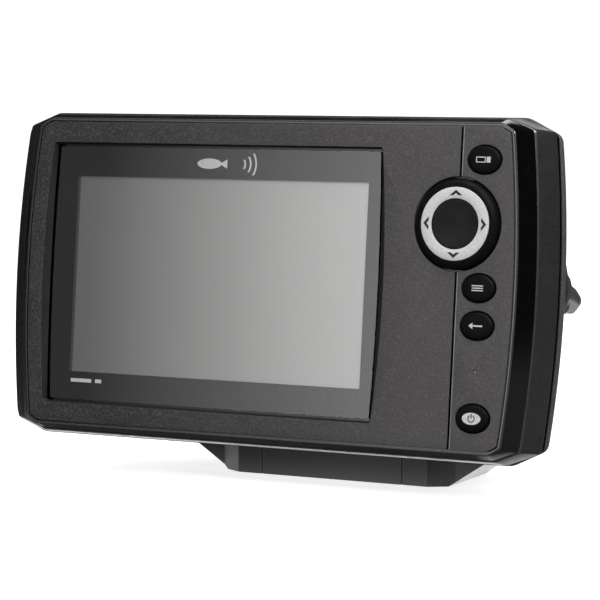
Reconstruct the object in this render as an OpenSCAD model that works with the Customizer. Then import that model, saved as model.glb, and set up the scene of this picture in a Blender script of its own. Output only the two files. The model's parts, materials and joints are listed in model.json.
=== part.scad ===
// Fish finder: a five inch sonar display head on a tilting bracket.
// Origin at the middle of the bracket's underside, +Z up, screen facing -Y, sizes in millimetres.
// The head is drawn in its own frame: X right, Y back from the face, Z up from the face's centre.

/* [Case] */
// Half width of the case at its widest ring, at mid height
case_half_w = 100.2; // [99:0.1:101]
// Half height of the case at its widest ring
case_half_h = 53.8; // [53.4:0.1:55]
// How far the sides bow out between the corners and mid height
side_bow = 3; // [2:0.1:3.5]
// Wall thickness of the rear shell
wall = 2.4; // [2:0.1:2.8]
// Depth of the front case, from the face to the joint with the rear shell
front_depth = 10.4; // [10.3:0.1:10.6]
// Depth from the face to the back of the wide part
wide_depth = 24; // [23:0.5:25]
// Depth from the face to the back of the deep middle part
deep_depth = 48; // [46:0.5:50]

/* [Face] */
// Half width of the face plate at mid height
face_half_w = 87.6; // [87:0.1:88]
// Half height of the face plate
face_half_h = 50; // [49.5:0.1:50.2]
// Thickness of the face plate
plate_t = 1.8; // [1.6:0.1:2]
// Distance from the centre to the groove beside the keys
groove_x = 68.5; // [67:0.5:70]

/* [Screen] */
// Width of the clear window
window_w = 107.6; // [104:0.2:109]
// Height of the clear window
window_h = 65.2; // [62:0.2:67]
// Sideways place of the window's centre
window_x = -18; // [-18.5:0.1:-17.5]
// Height of the window's centre
window_z = -0.5; // [-1:0.1:0]
// Width of the lens at its corners
lens_w = 118.2; // [117.6:0.2:118.6]
// Height of the lens
lens_h = 84; // [82:0.2:84.4]
// Sideways place of the lens's centre
lens_x = -19.1; // [-19.4:0.1:-18.8]
// How far the lens's sides bow out at mid height
lens_bow = 1; // [0.5:0.1:1.2]

/* [Keys] */
// Width of an oval key
key_w = 10.9; // [10.4:0.1:11.1]
// Height of an oval key
key_h = 8.4; // [7.8:0.1:8.6]
// Gap around a key
key_gap = 0.4; // [0.3:0.05:0.5]
// How far a key goes in
key_travel = 0.9; // [0.5:0.1:1]
// Sideways place of the key column
key_x = 76.3; // [76:0.1:76.6]
// Radius of the direction pad
pad_r = 14.2; // [13.8:0.1:14.2]
// Outer radius of the pad's pale ring
ring_r = 11.4; // [11:0.1:11.9]
// Inner radius of the pad's pale ring
ring_inner_r = 7.9; // [7:0.1:8]

/* [Tilt] */
// How far the head leans back at rest
rest_tilt = 6; // [0:1:12]
// Height of the tilt axis above the bracket's underside
pivot_h = 67.6; // [67:0.1:70]
// How far the tilt axis stands in front of the base's middle
pivot_ahead = 30; // [28:0.5:32]
// Depth of the tilt axis behind the face
pivot_depth = 42; // [41.5:0.5:42.5]
// Radius of the knob's stud
stud_r = 3; // [2.5:0.1:3.2]
// Radial clearance of the stud in its threaded insert
stud_clearance = 0.05; // [0.02:0.01:0.1]

/* [Bracket] */
// Depth of the base, front to back
base_depth = 40; // [38:1:44]
// Thickness of the base
base_t = 11; // [10:0.5:12]
// Distance from the middle to the inner face of an arm
arm_inner_x = 63; // [62.8:0.1:64]
// Thickness of an arm
arm_t = 5.5; // [5:0.1:6]
// Hole spacing across the base
hole_across = 50; // [44:1:54]
// Hole spacing front to back
hole_along = 24; // [20:1:26]
// Radius of a fixing hole
hole_r = 2.3; // [2:0.1:2.6]

/* [Knobs] */
// Reach of a knob's lobe from the axis
lobe_reach = 16.5; // [15:0.5:17]
// Distance from the middle to a knob's outer end
knob_end_x = 90; // [88:0.5:92]

/* [Hidden] */
$fn = 64;
eps = 0.01;
slip = 0.02; // gap between pieces that are pressed or glued together

// Outlines of the case: [half width at mid height, half width at the corner, corner height,
// half width where the corner cut meets the top, half height, extra height below]
face_ring = [face_half_w, face_half_w - side_bow, face_half_h - 1.8, face_half_w - 6.4, face_half_h, 0];
seam_gap = 0.35;
ridge_ring = [93.5, 93.5 - side_bow, 49.5, 81.7, 53.2, 0];
joint_ring = [98.7, 98.7 - side_bow, 49.2, 84.5, 53.5, 0.6];
lip_ring = [case_half_w, case_half_w - side_bow, 48, 86, case_half_h, 0.6];
back_ring = [93, 93 - side_bow, 44, 82, 49.5, 0];
ridge_y = 5.5;
lip_y = 11.9;
deep_half_w = 59.5;
deep_half_h = 42;

// Layers behind the face, front to back
lens_y = 2.2;
lens_t = 1;
print_t = 0.05;
mask_t = 0.1;
gasket_t = 0.3;
print_y = lens_y + lens_t;
mask_y = print_y + print_t;
gasket_y = mask_y + mask_t;
floor_y = gasket_y + gasket_t;
floor_back_y = 5.6;
lcd_t = 1.4;
backlight_t = 3.6;
backlight_y = floor_y + lcd_t + slip;
tray_y = backlight_y + backlight_t + 0.2;
tray_t = 1.4;
board_t = 1.6;
board_y = 13.5;
board_back_y = board_y + board_t;
connector_board_y = 38;
lens_z = -0.25;
lcd_w = 113.5;
lcd_h = 71.5;
bevel = 1.6;
bevel_bow = 1.3; // extra bow of the bevel's front edge
lens_slot = 0.8;

// Keys
view_z = 39.7;
menu_z = 0.2;
exit_z = -11.4;
power_z = -39.9;
light_z = -25.6;
light_r = 0.55;
pad_x = 68.1;
pad_z = 19.7;
key_rim_y = -0.25;
key_top_y = -1;
flange_y = floor_back_y + 0.15;
flange_t = 0.8;
membrane_y = flange_y + flange_t + key_travel + 0.15;
membrane_t = 1;
keypad_board_y = membrane_y + membrane_t + slip;
pad_gap = 0.45;
pad_top_y = -1.85;
pad_back_y = 2.3;
pad_floor_y = 4.8;
cross_y = 3.2;
pin_r = 0.6;
foot_r = 9;
mark_t = 0.3;

// Screws: the case screws run from the rear shell into the front case
case_screw_at = [[-87.3, -32], [-87.3, 32], [87.3, -32], [87.3, 32], [0, -46.3], [0, 46.3]];
case_screw_r = 1.3;
case_seat_y = 16;
case_screw_tip_y = 6.8;
tray_screw_at = [[-79.5, -40], [-79.5, 40], [43.5, -40], [43.5, 40]];
board_screw_at = [[-65, -38], [-65, 38], [30, -38], [30, 38]];
small_screw_r = 1.1;

// Sockets on the back: [sideways place, radius]
socket_z = -14;
power_at = [-30, 7.5];
sonar_at = [0, 9];
accessory_at = [30, 6.5];
socket_depth = 52.6;

// Memory card door on the back of the wide part
door_x = -76;
door_z = 34;
door_w = 17;
door_h = 13;
door_t = 2;
door_pin_z = door_z + door_h / 2 - 1.4;
door_pin_y = wide_depth + 1.5;
door_pin_r = 0.7;

// Bracket: the flanks rise outwards from the base and turn up into the arms
base_flat_half_w = 42;
flank_rise = 0.657;
front_half_w = 35.8;
corner_half_w = 44;
corner_cut = 5;
arm_front_y = 15;
arm_back_y = 6;
eye_r = 12;
arm_outer_x = arm_inner_x + arm_t;
flank_top_z = 1.4 + (arm_outer_x - corner_half_w) * flank_rise;
insert_r = 5;
insert_inner_x = 51.5;
boss_x = 61;
washer_gap = 0.1;
knob_washer_t = 0.6;
knob_inner_x = arm_outer_x + washer_gap + knob_washer_t + washer_gap;
stud_tip_x = 53.2;
stud_end_x = 84;
lobe_r = 5.3;
lobe_tip_r = 4.4;
lobe_edge_r = 1.4;
lobe_turn = 15;

// ---- helpers ----

// Points up one bowed side of an outline, from the lower corner to the upper one
function side(ring, steps = 12) = [for (i = [-steps : steps])
    let (u = i / steps)
    [ring[0] - (ring[0] - ring[1]) * u * u, u * (ring[2] + (u < 0 ? ring[5] : 0))]];

// The same points on the other side, from the upper corner to the lower one
function other_side(points) = [for (i = [len(points) - 1 : -1 : 0]) [-points[i][0], points[i][1]]];

function outline(ring) = concat(
    side(ring), [[ring[3], ring[4]], [-ring[3], ring[4]]],
    other_side(side(ring)), [[-ring[3], -ring[4] - ring[5]], [ring[3], -ring[4] - ring[5]]]);

// An outline drawn in by d all round
function inset(ring, d) = [ring[0] - d, ring[1] - d, ring[2] - 0.4 * d, ring[3] - 0.6 * d, ring[4] - d,
    ring[5]];

// Corner points of a rounded rectangle
function rounded(w, h, r, steps = 6) = [for (corner = [0 : 3]) for (i = [0 : steps])
    let (a = 90 * (corner + i / steps))
    let (sx = (corner == 0 || corner == 3) ? 1 : -1)
    let (sz = (corner < 2) ? 1 : -1)
    [sx * (w / 2 - r) + r * cos(a), sz * (h / 2 - r) + r * sin(a)]];

// A rounded rectangle whose sides bow out by b at mid height
function bowed(w, h, r, b, steps = 8) =
    let (ends = rounded(w, h, r))
    let (half = len(ends) / 2)
    let (span = (h / 2 - r) / steps)
    let (points = concat(
        [for (i = [0 : half - 1]) ends[i]], [for (i = [steps - 1 : -1 : 1 - steps]) [-w / 2, i * span]],
        [for (i = [half : 2 * half - 1]) ends[i]], [for (i = [1 - steps : steps - 1]) [w / 2, i * span]]))
    [for (p = points) [p[0] + sign(p[0]) * b * (1 - pow(2 * p[1] / h, 2)), p[1]]];

function oval(w, h, steps = 40) = [for (i = [0 : steps - 1])
    [w / 2 * cos(360 * i / steps), h / 2 * sin(360 * i / steps)]];

// Places a drawing made in the head's own frame
module in_head() {
    translate([0, -pivot_ahead, pivot_h])
        rotate([-rest_tilt, 0, 0])
            translate([0, -pivot_depth, 0])
                children();
}

// A flat shape given thickness from depth y0 to depth y1
module slab(y0, y1) {
    translate([0, y1, 0])
        rotate([90, 0, 0])
            linear_extrude(y1 - y0)
                children();
}

// A straight-sided plate on a list of points, centred at a place on the face
module plate(points, y0, y1, at = [0, 0]) {
    slab(y0, y1)
        translate(at)
            polygon(points);
}

// A rod along the depth
module rod(r, y0, y1, at = [0, 0]) {
    translate([at[0], y1, at[1]])
        rotate([90, 0, 0])
            cylinder(r = r, h = y1 - y0);
}

// A rod along the width, between two places
module cross_rod(r, x0, x1) {
    translate([x0, 0, 0])
        rotate([0, 90, 0])
            cylinder(r = r, h = x1 - x0);
}

// A solid that changes from one outline to the next
module loft(ring0, y0, ring1, y1) {
    hull() {
        plate(outline(ring0), y0, y0 + eps);
        plate(outline(ring1), y1 - eps, y1);
    }
}

module mirrored() {
    children();
    mirror([1, 0, 0])
        children();
}

// A block between two corners
module block(low, high) {
    translate(low)
        cube(high - low);
}

// A strip of width w between two places, for printed lines
module stroke(a, b, w) {
    d = b - a;
    translate(a)
        rotate(atan2(d[1], d[0]))
            translate([0, -w / 2])
                square([norm(d), w]);
}

// ---- front case ----

module key_openings(y0, y1, spare) {
    for (z = [view_z, menu_z, exit_z, power_z])
        plate(oval(key_w + 2 * spare, key_h + 2 * spare), y0, y1, [key_x, z]);
    rod(light_r + 0.1, y0, y1, [key_x, light_z]);
}

module front_bezel() {
    lens_pocket_w = lens_w + 2 * lens_slot;
    lens_pocket_h = lens_h + 2 * lens_slot;
    color("black") in_head() difference() {
        union() {
            loft(inset(face_ring, -seam_gap - 0.6), 0.4, ridge_ring, ridge_y);
            loft(ridge_ring, ridge_y - eps, joint_ring, front_depth);
        }
        plate(outline(inset(face_ring, -seam_gap)), -1, plate_t);
        plate(bowed(lens_pocket_w, lens_pocket_h, 0.8, lens_bow), 0, floor_y, [lens_x, lens_z]);
        plate(rounded(lcd_w + 0.6, lcd_h + 0.6, 1), 0, front_depth, [window_x, window_z]);
        key_openings(0, front_depth, key_gap);
        difference() {
            rod(pad_r + pad_gap, 0, pad_floor_y, [pad_x, pad_z]);
            fork(0, cross_y - 1.3, pad_floor_y + 1);
        }
        for (a = [0 : 90 : 270])
            rod(1.9, 0, front_depth, [pad_x + foot_r * cos(a), pad_z + foot_r * sin(a)]);
        difference() {
            union() {
                loft(inset(ridge_ring, 3.2), floor_back_y, inset(joint_ring, 3.2), front_depth - 1);
                plate(outline(inset(joint_ring, 3.2)), front_depth - 1 - eps, front_depth + 1);
            }
            for (at = case_screw_at)
                rod(3, floor_back_y - 1, front_depth - 0.05, at);
            for (at = tray_screw_at)
                rod(2.8, floor_back_y - 1, tray_y - slip, at);
        }
        for (at = case_screw_at)
            rod(case_screw_r + slip, case_screw_tip_y - 0.4, front_depth + 1, at);
        for (at = tray_screw_at)
            rod(small_screw_r + slip, 6.3, front_depth, at);
    }
}

module face_plate() {
    opening_w = lens_w + 2 * lens_slot;
    opening_h = lens_h + 2 * lens_slot;
    color("dimgray") in_head() difference() {
        plate(outline(face_ring), 0, plate_t - slip);
        hull() {
            plate(bowed(opening_w + 1.4, opening_h + 1.1, 0.8, lens_bow + bevel_bow), -eps, 0,
                [lens_x, lens_z]);
            plate(bowed(opening_w, opening_h, 0.6, lens_bow), bevel, bevel + eps, [lens_x, lens_z]);
        }
        plate(bowed(opening_w, opening_h, 0.6, lens_bow), 0, plate_t + 1, [lens_x, lens_z]);
        block([groove_x - 0.3, -1, -face_half_h - 1], [groove_x + 0.3, 0.45, face_half_h + 1]);
        key_openings(-1, plate_t + 1, key_gap);
        rod(pad_r + pad_gap, -1, plate_t + 1, [pad_x, pad_z]);
    }
}

// ---- screen stack ----

module display_lens() {
    color("darkslategray", 0.4) in_head()
        plate(bowed(lens_w, lens_h, 0.6, lens_bow), lens_y, lens_y + lens_t, [lens_x, lens_z]);
}

// A plain fish and sonar arcs above the window, and two short bars below it
module lens_print() {
    color("white") in_head() slab(print_y, print_y + print_t - 0.01) {
        translate([window_x - 4, 37]) {
            polygon(oval(9, 3.4, 32));
            polygon([[3.8, 0], [6.6, 1.5], [6.6, -1.5]]);
        }
        for (r = [3, 5, 7])
            translate([window_x + 6.5, 37])
                intersection() {
                    difference() {
                        circle(r);
                        circle(r - 0.6);
                    }
                    translate([1, -r / 2])
                        square([r, r]);
                }
        translate([-71, -36.6])
            square([8, 1.2]);
        translate([-61.5, -36.6])
            square([2.4, 1.2]);
    }
}

module lens_mask() {
    color("black") in_head() difference() {
        plate(bowed(lens_w, lens_h, 0.6, lens_bow), mask_y, mask_y + mask_t - 0.01, [lens_x, lens_z]);
        plate(rounded(window_w, window_h, 0.4), 0, floor_y, [window_x, window_z]);
    }
}

module lens_gasket() {
    color("gray") in_head() difference() {
        plate(bowed(lens_w - 0.4, lens_h - 0.4, 0.6, lens_bow), gasket_y, floor_y - 0.01, [lens_x, lens_z]);
        plate(rounded(lcd_w + 1, lcd_h + 1, 1), 0, floor_y + 1, [window_x, window_z]);
    }
}

module lcd_panel() {
    color("slategray") in_head()
        plate(rounded(lcd_w, lcd_h, 0.5), floor_y, floor_y + lcd_t, [window_x, window_z]);
}

module backlight() {
    color("silver") in_head() difference() {
        plate(rounded(lcd_w, lcd_h, 0.5), backlight_y, backlight_y + backlight_t, [window_x, window_z]);
        plate(rounded(lcd_w - 20, lcd_h - 16, 2), backlight_y + backlight_t - 0.6, tray_y, [window_x, window_z]);
    }
}

module display_tray() {
    color("darkgray") in_head() difference() {
        union() {
            plate(rounded(130, 88, 3), tray_y, tray_y + tray_t, [window_x, window_z]);
            for (at = board_screw_at)
                rod(3, tray_y, board_y - slip, at);
        }
        for (at = tray_screw_at)
            rod(small_screw_r + 0.2, 0, board_y, at);
        for (at = board_screw_at)
            rod(small_screw_r + slip, tray_y + 0.4, board_y + 1, at);
        for (at = case_screw_at)
            rod(3.3, 0, board_y, at);
        plate(rounded(40, 50, 3), 0, board_y, [window_x, window_z]);
    }
}

module screw(r, head_r, head_t, seat_y, tip_y, at) {
    rod(r, tip_y, seat_y + eps, at);
    difference() {
        rod(head_r, seat_y, seat_y + head_t, at);
        block([at[0] - head_r, seat_y + head_t / 2, at[1] - 0.25],
            [at[0] + head_r, seat_y + head_t + 1, at[1] + 0.25]);
    }
}

module tray_screws() {
    color("silver") in_head()
        for (at = tray_screw_at)
            screw(small_screw_r, 2.1, 1.2, tray_y + tray_t + slip, 6.5, at);
}

// Flat ribbon from the screen, folded up behind the tray to the main board
module display_ribbon() {
    ribbon_w = 30;
    x0 = window_x - ribbon_w / 2;
    top_z = window_z + 20;
    y0 = backlight_y + backlight_t - 0.5;
    color("orange") in_head() {
        block([x0, y0, top_z - 14], [x0 + ribbon_w, y0 + 0.3, top_z]);
        block([x0, y0, top_z], [x0 + ribbon_w, board_y - slip, top_z + 0.3]);
    }
}

// ---- keypad ----

module keypad_membrane() {
    color("darkslategray") in_head() {
        plate(rounded(30.5, 96, 2), membrane_y + 0.3, membrane_y + membrane_t, [69, 0]);
        for (z = [view_z, menu_z, exit_z, power_z])
            plate(oval(7, 5, 24), membrane_y, membrane_y + 0.4, [key_x, z]);
        for (a = [0 : 90 : 270])
            rod(2, membrane_y, membrane_y + 0.4, [pad_x + foot_r * cos(a), pad_z + foot_r * sin(a)]);
    }
}

module keypad_board() {
    color("seagreen") in_head()
        plate(rounded(30.5, 96, 2), keypad_board_y, keypad_board_y + board_t, [69, 0]);
}

module status_light() {
    color("white") in_head()
        rod(light_r, 0.3, membrane_y, [key_x, light_z]);
}

module key_cap(z) {
    plate(oval(key_w, key_h), key_rim_y, flange_y + eps, [key_x, z]);
    hull() {
        plate(oval(key_w, key_h), key_rim_y, key_rim_y + eps, [key_x, z]);
        plate(oval(key_w * 0.86, key_h * 0.86), key_rim_y - 0.45, key_rim_y, [key_x, z]);
        plate(oval(key_w * 0.66, key_h * 0.6), key_top_y, key_rim_y, [key_x, z]);
    }
    plate(oval(key_w + 1.8, key_h + 1.2), flange_y, flange_y + flange_t, [key_x, z]);
}

// A key with its legend let into the top
module key_with_legend(z) {
    difference() {
        key_cap(z);
        slab(key_top_y - 1, key_top_y + mark_t)
            translate([key_x, z])
                offset(delta = slip)
                    children();
    }
}

module legend(z) {
    slab(key_top_y - 0.05, key_top_y + mark_t - slip)
        translate([key_x, z])
            children();
}

// Two overlapping panes
module view_sign() {
    difference() {
        translate([-2.4, -0.9])
            square([3.2, 1.8]);
        translate([-2.1, -0.6])
            square([2.6, 1.2]);
    }
    translate([1.1, -0.9])
        square([1.3, 1.8]);
}

// Three bars
module menu_sign() {
    for (z = [-0.9, -0.175, 0.55])
        translate([-1.9, z])
            square([3.8, 0.35]);
}

// An arrow that points back
module exit_sign() {
    polygon([[-2.4, 0], [-1, 1], [-1, 0.25], [2.2, 0.25], [2.2, -0.25], [-1, -0.25], [-1, -1]]);
}

// A ring with a gap at the top and a bar in the gap
module power_sign() {
    difference() {
        circle(1.25);
        circle(0.9);
        translate([-0.45, 0])
            square([0.9, 2]);
    }
    translate([-0.17, 0.1])
        square([0.34, 1.4]);
}

module power_disc() {
    polygon(oval(6.2, 3.7, 36));
}

module view_key() {
    color("black") in_head() key_with_legend(view_z) view_sign();
}

module view_mark() {
    color("white") in_head() legend(view_z) view_sign();
}

module menu_key() {
    color("black") in_head() key_with_legend(menu_z) menu_sign();
}

module menu_mark() {
    color("white") in_head() legend(menu_z) menu_sign();
}

module exit_key() {
    color("black") in_head() key_with_legend(exit_z) exit_sign();
}

module exit_mark() {
    color("white") in_head() legend(exit_z) exit_sign();
}

module power_key() {
    color("black") in_head() key_with_legend(power_z) power_disc();
}

module power_badge() {
    color("white") in_head() difference() {
        legend(power_z) power_disc();
        slab(key_top_y - 1, key_top_y + 0.1)
            translate([key_x, power_z])
                offset(delta = slip)
                    power_sign();
    }
}

module power_mark() {
    color("black") in_head() slab(key_top_y - 0.07, key_top_y + 0.1 - slip)
        translate([key_x, power_z])
            power_sign();
}

// Two lugs around the pad's middle, with a hole for one pin of the cross
module fork(turn, y0, y1) {
    translate([pad_x, 0, pad_z])
        rotate([0, turn, 0])
            for (s = [-1, 1])
                difference() {
                    translate([s * 3.6 - 0.6, y0, -1.5])
                        cube([1.2, y1 - y0, 3]);
                    translate([0, cross_y, 0])
                        cross_rod(pin_r + 0.1, s * 3.6 - 1, s * 3.6 + 1);
                }
}

// The cross that the pad rocks on: one pin turns in the case's fork, the other in the pad's
module pad_rocker() {
    reach = 4.4;
    hub = 2.7;
    color("gray") in_head() translate([pad_x, cross_y, pad_z]) {
        translate([-hub, -0.8, -hub])
            cube([2 * hub, 1.6, 2 * hub]);
        cross_rod(pin_r, -reach, reach);
        translate([0, 0, -reach])
            cylinder(r = pin_r, h = 2 * reach);
    }
}

// Four arrow heads, each a pair of strokes
module chevrons(w) {
    middle = (ring_r + ring_inner_r) / 2;
    for (a = [0 : 90 : 270])
        rotate(a)
            translate([middle, 0])
                for (s = [-1, 1])
                    stroke([0.6, 0], [-0.7, 1.6 * s], w);
}

module pad_cap() {
    recess = 0.5;
    color("black") in_head() {
        difference() {
            union() {
                translate([pad_x, 0, pad_z])
                    rotate([90, 0, 0])
                        rotate_extrude()
                            polygon([[0, -pad_back_y], [pad_r, -pad_back_y], [pad_r, -0.3],
                                [pad_r - 0.5, 0.5], [pad_r - 1.5, 1.35], [ring_r + 0.1, -pad_top_y],
                                [ring_inner_r, -pad_top_y], [5, 1.5], [0, 1.2]]);
                for (a = [0 : 90 : 270])
                    rod(1.2, pad_back_y - eps, membrane_y - 0.8,
                        [pad_x + foot_r * cos(a), pad_z + foot_r * sin(a)]);
            }
            difference() {
                rod(ring_r + slip, pad_top_y - 1, pad_top_y + recess, [pad_x, pad_z]);
                rod(ring_inner_r - slip, pad_top_y - 2, pad_top_y + 1, [pad_x, pad_z]);
            }
            rod(5.6, 0.9, pad_back_y + 1, [pad_x, pad_z]);
        }
        fork(90, 0.8, cross_y + 1.1);
    }
}

module pad_ring() {
    color("white") in_head() difference() {
        rod(ring_r, pad_top_y - 0.05, pad_top_y + 0.48, [pad_x, pad_z]);
        rod(ring_inner_r, pad_top_y - 1, pad_top_y + 1, [pad_x, pad_z]);
        slab(pad_top_y - 1, pad_top_y + 0.15)
            translate([pad_x, pad_z])
                chevrons(0.62);
    }
}

module pad_marks() {
    color("black") in_head() slab(pad_top_y - 0.07, pad_top_y + 0.13)
        translate([pad_x, pad_z])
            chevrons(0.56);
}

// ---- electronics ----

module main_board() {
    color("darkgreen") in_head() difference() {
        plate(rounded(164, 84, 2), board_y, board_back_y);
        for (at = board_screw_at)
            rod(small_screw_r + 0.2, 0, board_back_y + 1, at);
        block([82 - 26, 0, -43], [83, board_back_y + 1, -26]);
    }
}

module board_screws() {
    color("silver") in_head()
        for (at = board_screw_at)
            screw(small_screw_r, 2.1, 1.2, board_back_y + slip, tray_y + 0.8, at);
}

module can(low, high) {
    difference() {
        block(low, high);
        block(low + [0.4, -1, 0.4], high - [0.4, 0.4, 0.4]);
    }
}

module shield_cans() {
    y0 = board_back_y + slip;
    color("lightgray") in_head() {
        can([-52, y0, 4], [-14, y0 + 4, 34]);
        can([2, y0, 2], [26, y0 + 4, 34]);
    }
}

// Coil, capacitors and chips of the sonar transmitter and the power supply
module board_parts() {
    y0 = board_back_y + slip;
    color("dimgray") in_head() {
        block([34, y0, 6], [50, y0 + 14, 24]);
        for (x = [-44, -34, -24])
            rod(4, y0, y0 + 12, [x, -26]);
        block([-8, y0, -36], [10, y0 + 1.6, -22]);
        block([20, y0, -34], [32, y0 + 1.6, -24]);
    }
}

module beeper() {
    color("black") in_head() difference() {
        rod(6, board_back_y + slip, board_back_y + 5.5, [-64, 2]);
        rod(1, board_back_y + 3, board_back_y + 7, [-64, 2]);
    }
}

module card_socket() {
    y0 = board_back_y + slip;
    color("silver") in_head() difference() {
        block([door_x - 6.5, y0, door_z - 4], [door_x + 6.5, wide_depth - wall - slip, door_z + 4]);
        block([door_x - 5.6, y0 + 1, door_z - 0.6], [door_x + 5.6, wide_depth, door_z + 0.6]);
    }
}

// Small board behind the sockets
module connector_board() {
    color("darkgreen") in_head()
        plate(rounded(94, 30, 2), connector_board_y, connector_board_y + board_t, [0, socket_z]);
}

// Flat cable between the two boards
module board_cable() {
    x0 = 36;
    color("lightgray") in_head() {
        block([x0, board_back_y + slip, socket_z - 8], [x0 + 0.8, connector_board_y - slip, socket_z + 8]);
        block([x0, board_back_y + slip, socket_z - 8], [x0 + 4, board_back_y + 3, socket_z + 8]);
        block([x0, connector_board_y - 3, socket_z - 8], [x0 + 4, connector_board_y - slip, socket_z + 8]);
    }
}

// ---- rear shell ----

module wide_part() {
    hull() {
        plate(outline(joint_ring), front_depth + 0.05, front_depth + 0.1);
        plate(outline(lip_ring), lip_y, lip_y + 0.3);
        plate(outline(back_ring), wide_depth - 0.1, wide_depth);
    }
}

module deep_part() {
    edge = 3;
    hull() {
        plate(rounded(2 * deep_half_w, 2 * deep_half_h, 7), wide_depth - 6, deep_depth - edge);
        plate(rounded(2 * (deep_half_w - edge), 2 * (deep_half_h - edge), 5),
            wide_depth, deep_depth);
    }
}

// Groove around the case, next to the joint
module joint_groove() {
    difference() {
        plate(outline(inset(joint_ring, -3)), front_depth, front_depth + 0.7);
        plate(outline(inset(joint_ring, 0.8)), front_depth - 1, front_depth + 1);
    }
}

// Hollow inside of the rear shell, in three steps of depth
module rear_hollow() {
    step_y = 14.5;
    plate(outline(inset(joint_ring, 3.2)), front_depth - 1, step_y);
    plate(outline(inset(back_ring, wall)), step_y - 1, wide_depth - wall);
    plate(rounded(2 * (deep_half_w - 3), 2 * (deep_half_h - 3), 4), step_y, deep_depth - wall);
}

// A sideways shape on the tilt axis, in the head's own frame
module on_pivot() {
    translate([0, pivot_depth, 0])
        children();
}

module rear_housing() {
    color("dimgray") in_head() difference() {
        union() {
            difference() {
                union() {
                    wide_part();
                    deep_part();
                }
                rear_hollow();
            }
            on_pivot() mirrored()
                cross_rod(11, deep_half_w - 1, boss_x);
            on_pivot() mirrored()
                cross_rod(8, insert_inner_x - 2, deep_half_w);
            for (at = case_screw_at)
                rod(3.6, front_depth + 0.05, wide_depth - 0.1, at);
        }
        on_pivot() mirrored()
            cross_rod(insert_r + slip, insert_inner_x, boss_x + 1);
        for (at = case_screw_at) {
            rod(case_screw_r + 0.2, front_depth - 1, case_seat_y + 1, at);
            rod(2.8, case_seat_y, wide_depth + 2, at);
        }
        for (s = [power_at, sonar_at, accessory_at])
            rod(s[1] + slip, deep_depth - wall - 1, deep_depth + 1, [s[0], socket_z]);
        block([door_x - 5.9, wide_depth - wall - 1, door_z - 2], [door_x + 5.9, wide_depth + 1, door_z + 2]);
        rod(3, deep_depth - wall - 1, deep_depth + 1, [30, 20]);
        card_door_recess();
        joint_groove();
    }
    color("dimgray") in_head() card_door_lugs();
}

// Space that lets the door's barrel turn
module card_door_recess() {
    translate([door_x - door_w / 2 - 0.3, door_pin_y, door_pin_z])
        cross_rod(1.9, 0, door_w + 0.6);
}

module card_door_lugs() {
    for (x = [door_x - door_w / 2 - 2.6, door_x + door_w / 2 + 0.4])
        difference() {
            block([x, wide_depth - 1, door_pin_z - 1.5], [x + 2.2, door_pin_y + 1.5, door_pin_z + 1.5]);
            translate([x - 1, door_pin_y, door_pin_z])
                cross_rod(door_pin_r + slip, 0, 5);
        }
}

module case_seal() {
    color("black") in_head() difference() {
        plate(outline(inset(joint_ring, 3.3)), front_depth - 0.8, front_depth + 0.8);
        plate(outline(inset(joint_ring, 4.6)), front_depth - 2, front_depth + 2);
        for (at = case_screw_at)
            rod(3.8, front_depth - 2, front_depth + 2, at);
    }
}

module case_screws() {
    color("silver") in_head()
        for (at = case_screw_at)
            screw(case_screw_r, 2.5, 1.8, case_seat_y + slip, case_screw_tip_y, at);
}

// A round socket with a collar, a key slot and a bored mouth
module socket(spec) {
    at = [spec[0], socket_z];
    r = spec[1];
    difference() {
        union() {
            rod(r, connector_board_y + board_t + slip, socket_depth, at);
            rod(r + 1.6, deep_depth + 0.1, deep_depth + 1.3, at);
        }
        rod(r - 1.3, deep_depth - 4, socket_depth + 1, at);
        block([at[0] - 1, deep_depth + 1.5, at[1] + r - 2], [at[0] + 1, socket_depth + 1, at[1] + r + 1]);
    }
}

module power_socket() {
    color("black") in_head() socket(power_at);
}

module sonar_socket() {
    color("black") in_head() socket(sonar_at);
}

module accessory_socket() {
    color("black") in_head() socket(accessory_at);
}

module pins(spec, count, circle_r) {
    for (i = [0 : count - 1])
        rod(0.5, deep_depth - 4 + slip, deep_depth + 1.5,
            [spec[0] + circle_r * cos(360 * i / count), socket_z + circle_r * sin(360 * i / count)]);
}

module socket_pins() {
    color("gold") in_head() {
        pins(power_at, 3, 3);
        pins(sonar_at, 7, 4.8);
        pins(accessory_at, 5, 3);
    }
}

module pressure_vent() {
    color("gray") in_head() {
        rod(2.95, deep_depth - wall, deep_depth - 0.8, [30, 20]);
    }
}

// ---- card door ----

module card_door() {
    color("dimgray") in_head() difference() {
        union() {
            block([door_x - door_w / 2, wide_depth + 0.15, door_z - door_h / 2],
                [door_x + door_w / 2, wide_depth + 0.15 + door_t, door_pin_z]);
            translate([door_x - door_w / 2, door_pin_y, door_pin_z])
                cross_rod(1.35, 0, door_w);
            block([door_x - 4.6, wide_depth - 1, door_z - 1.2], [door_x + 4.6, wide_depth + 0.2, door_z + 1.2]);
        }
        translate([door_x - door_w, door_pin_y, door_pin_z])
            cross_rod(door_pin_r + stud_clearance, 0, 2 * door_w);
    }
}

module card_door_pin() {
    color("silver") in_head()
        translate([door_x - door_w / 2 - 2.6, door_pin_y, door_pin_z])
            cross_rod(door_pin_r, 0, door_w + 5.2);
}

// ---- pivot ----

module pivot_inserts() {
    color("gold") in_head() on_pivot() mirrored() difference() {
        cross_rod(insert_r, insert_inner_x + slip, boss_x - 0.2);
        cross_rod(stud_r + stud_clearance, insert_inner_x + 1.4, boss_x + 1);
    }
}

// Puts a shape that lies along the width on the tilt axis, outside the head
module at_axis() {
    translate([0, -pivot_ahead, pivot_h])
        children();
}

module friction_washers() {
    color("black") at_axis() mirrored() difference() {
        cross_rod(11, boss_x + washer_gap, arm_inner_x - washer_gap);
        cross_rod(stud_r + 0.4, boss_x, arm_inner_x);
    }
}

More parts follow.
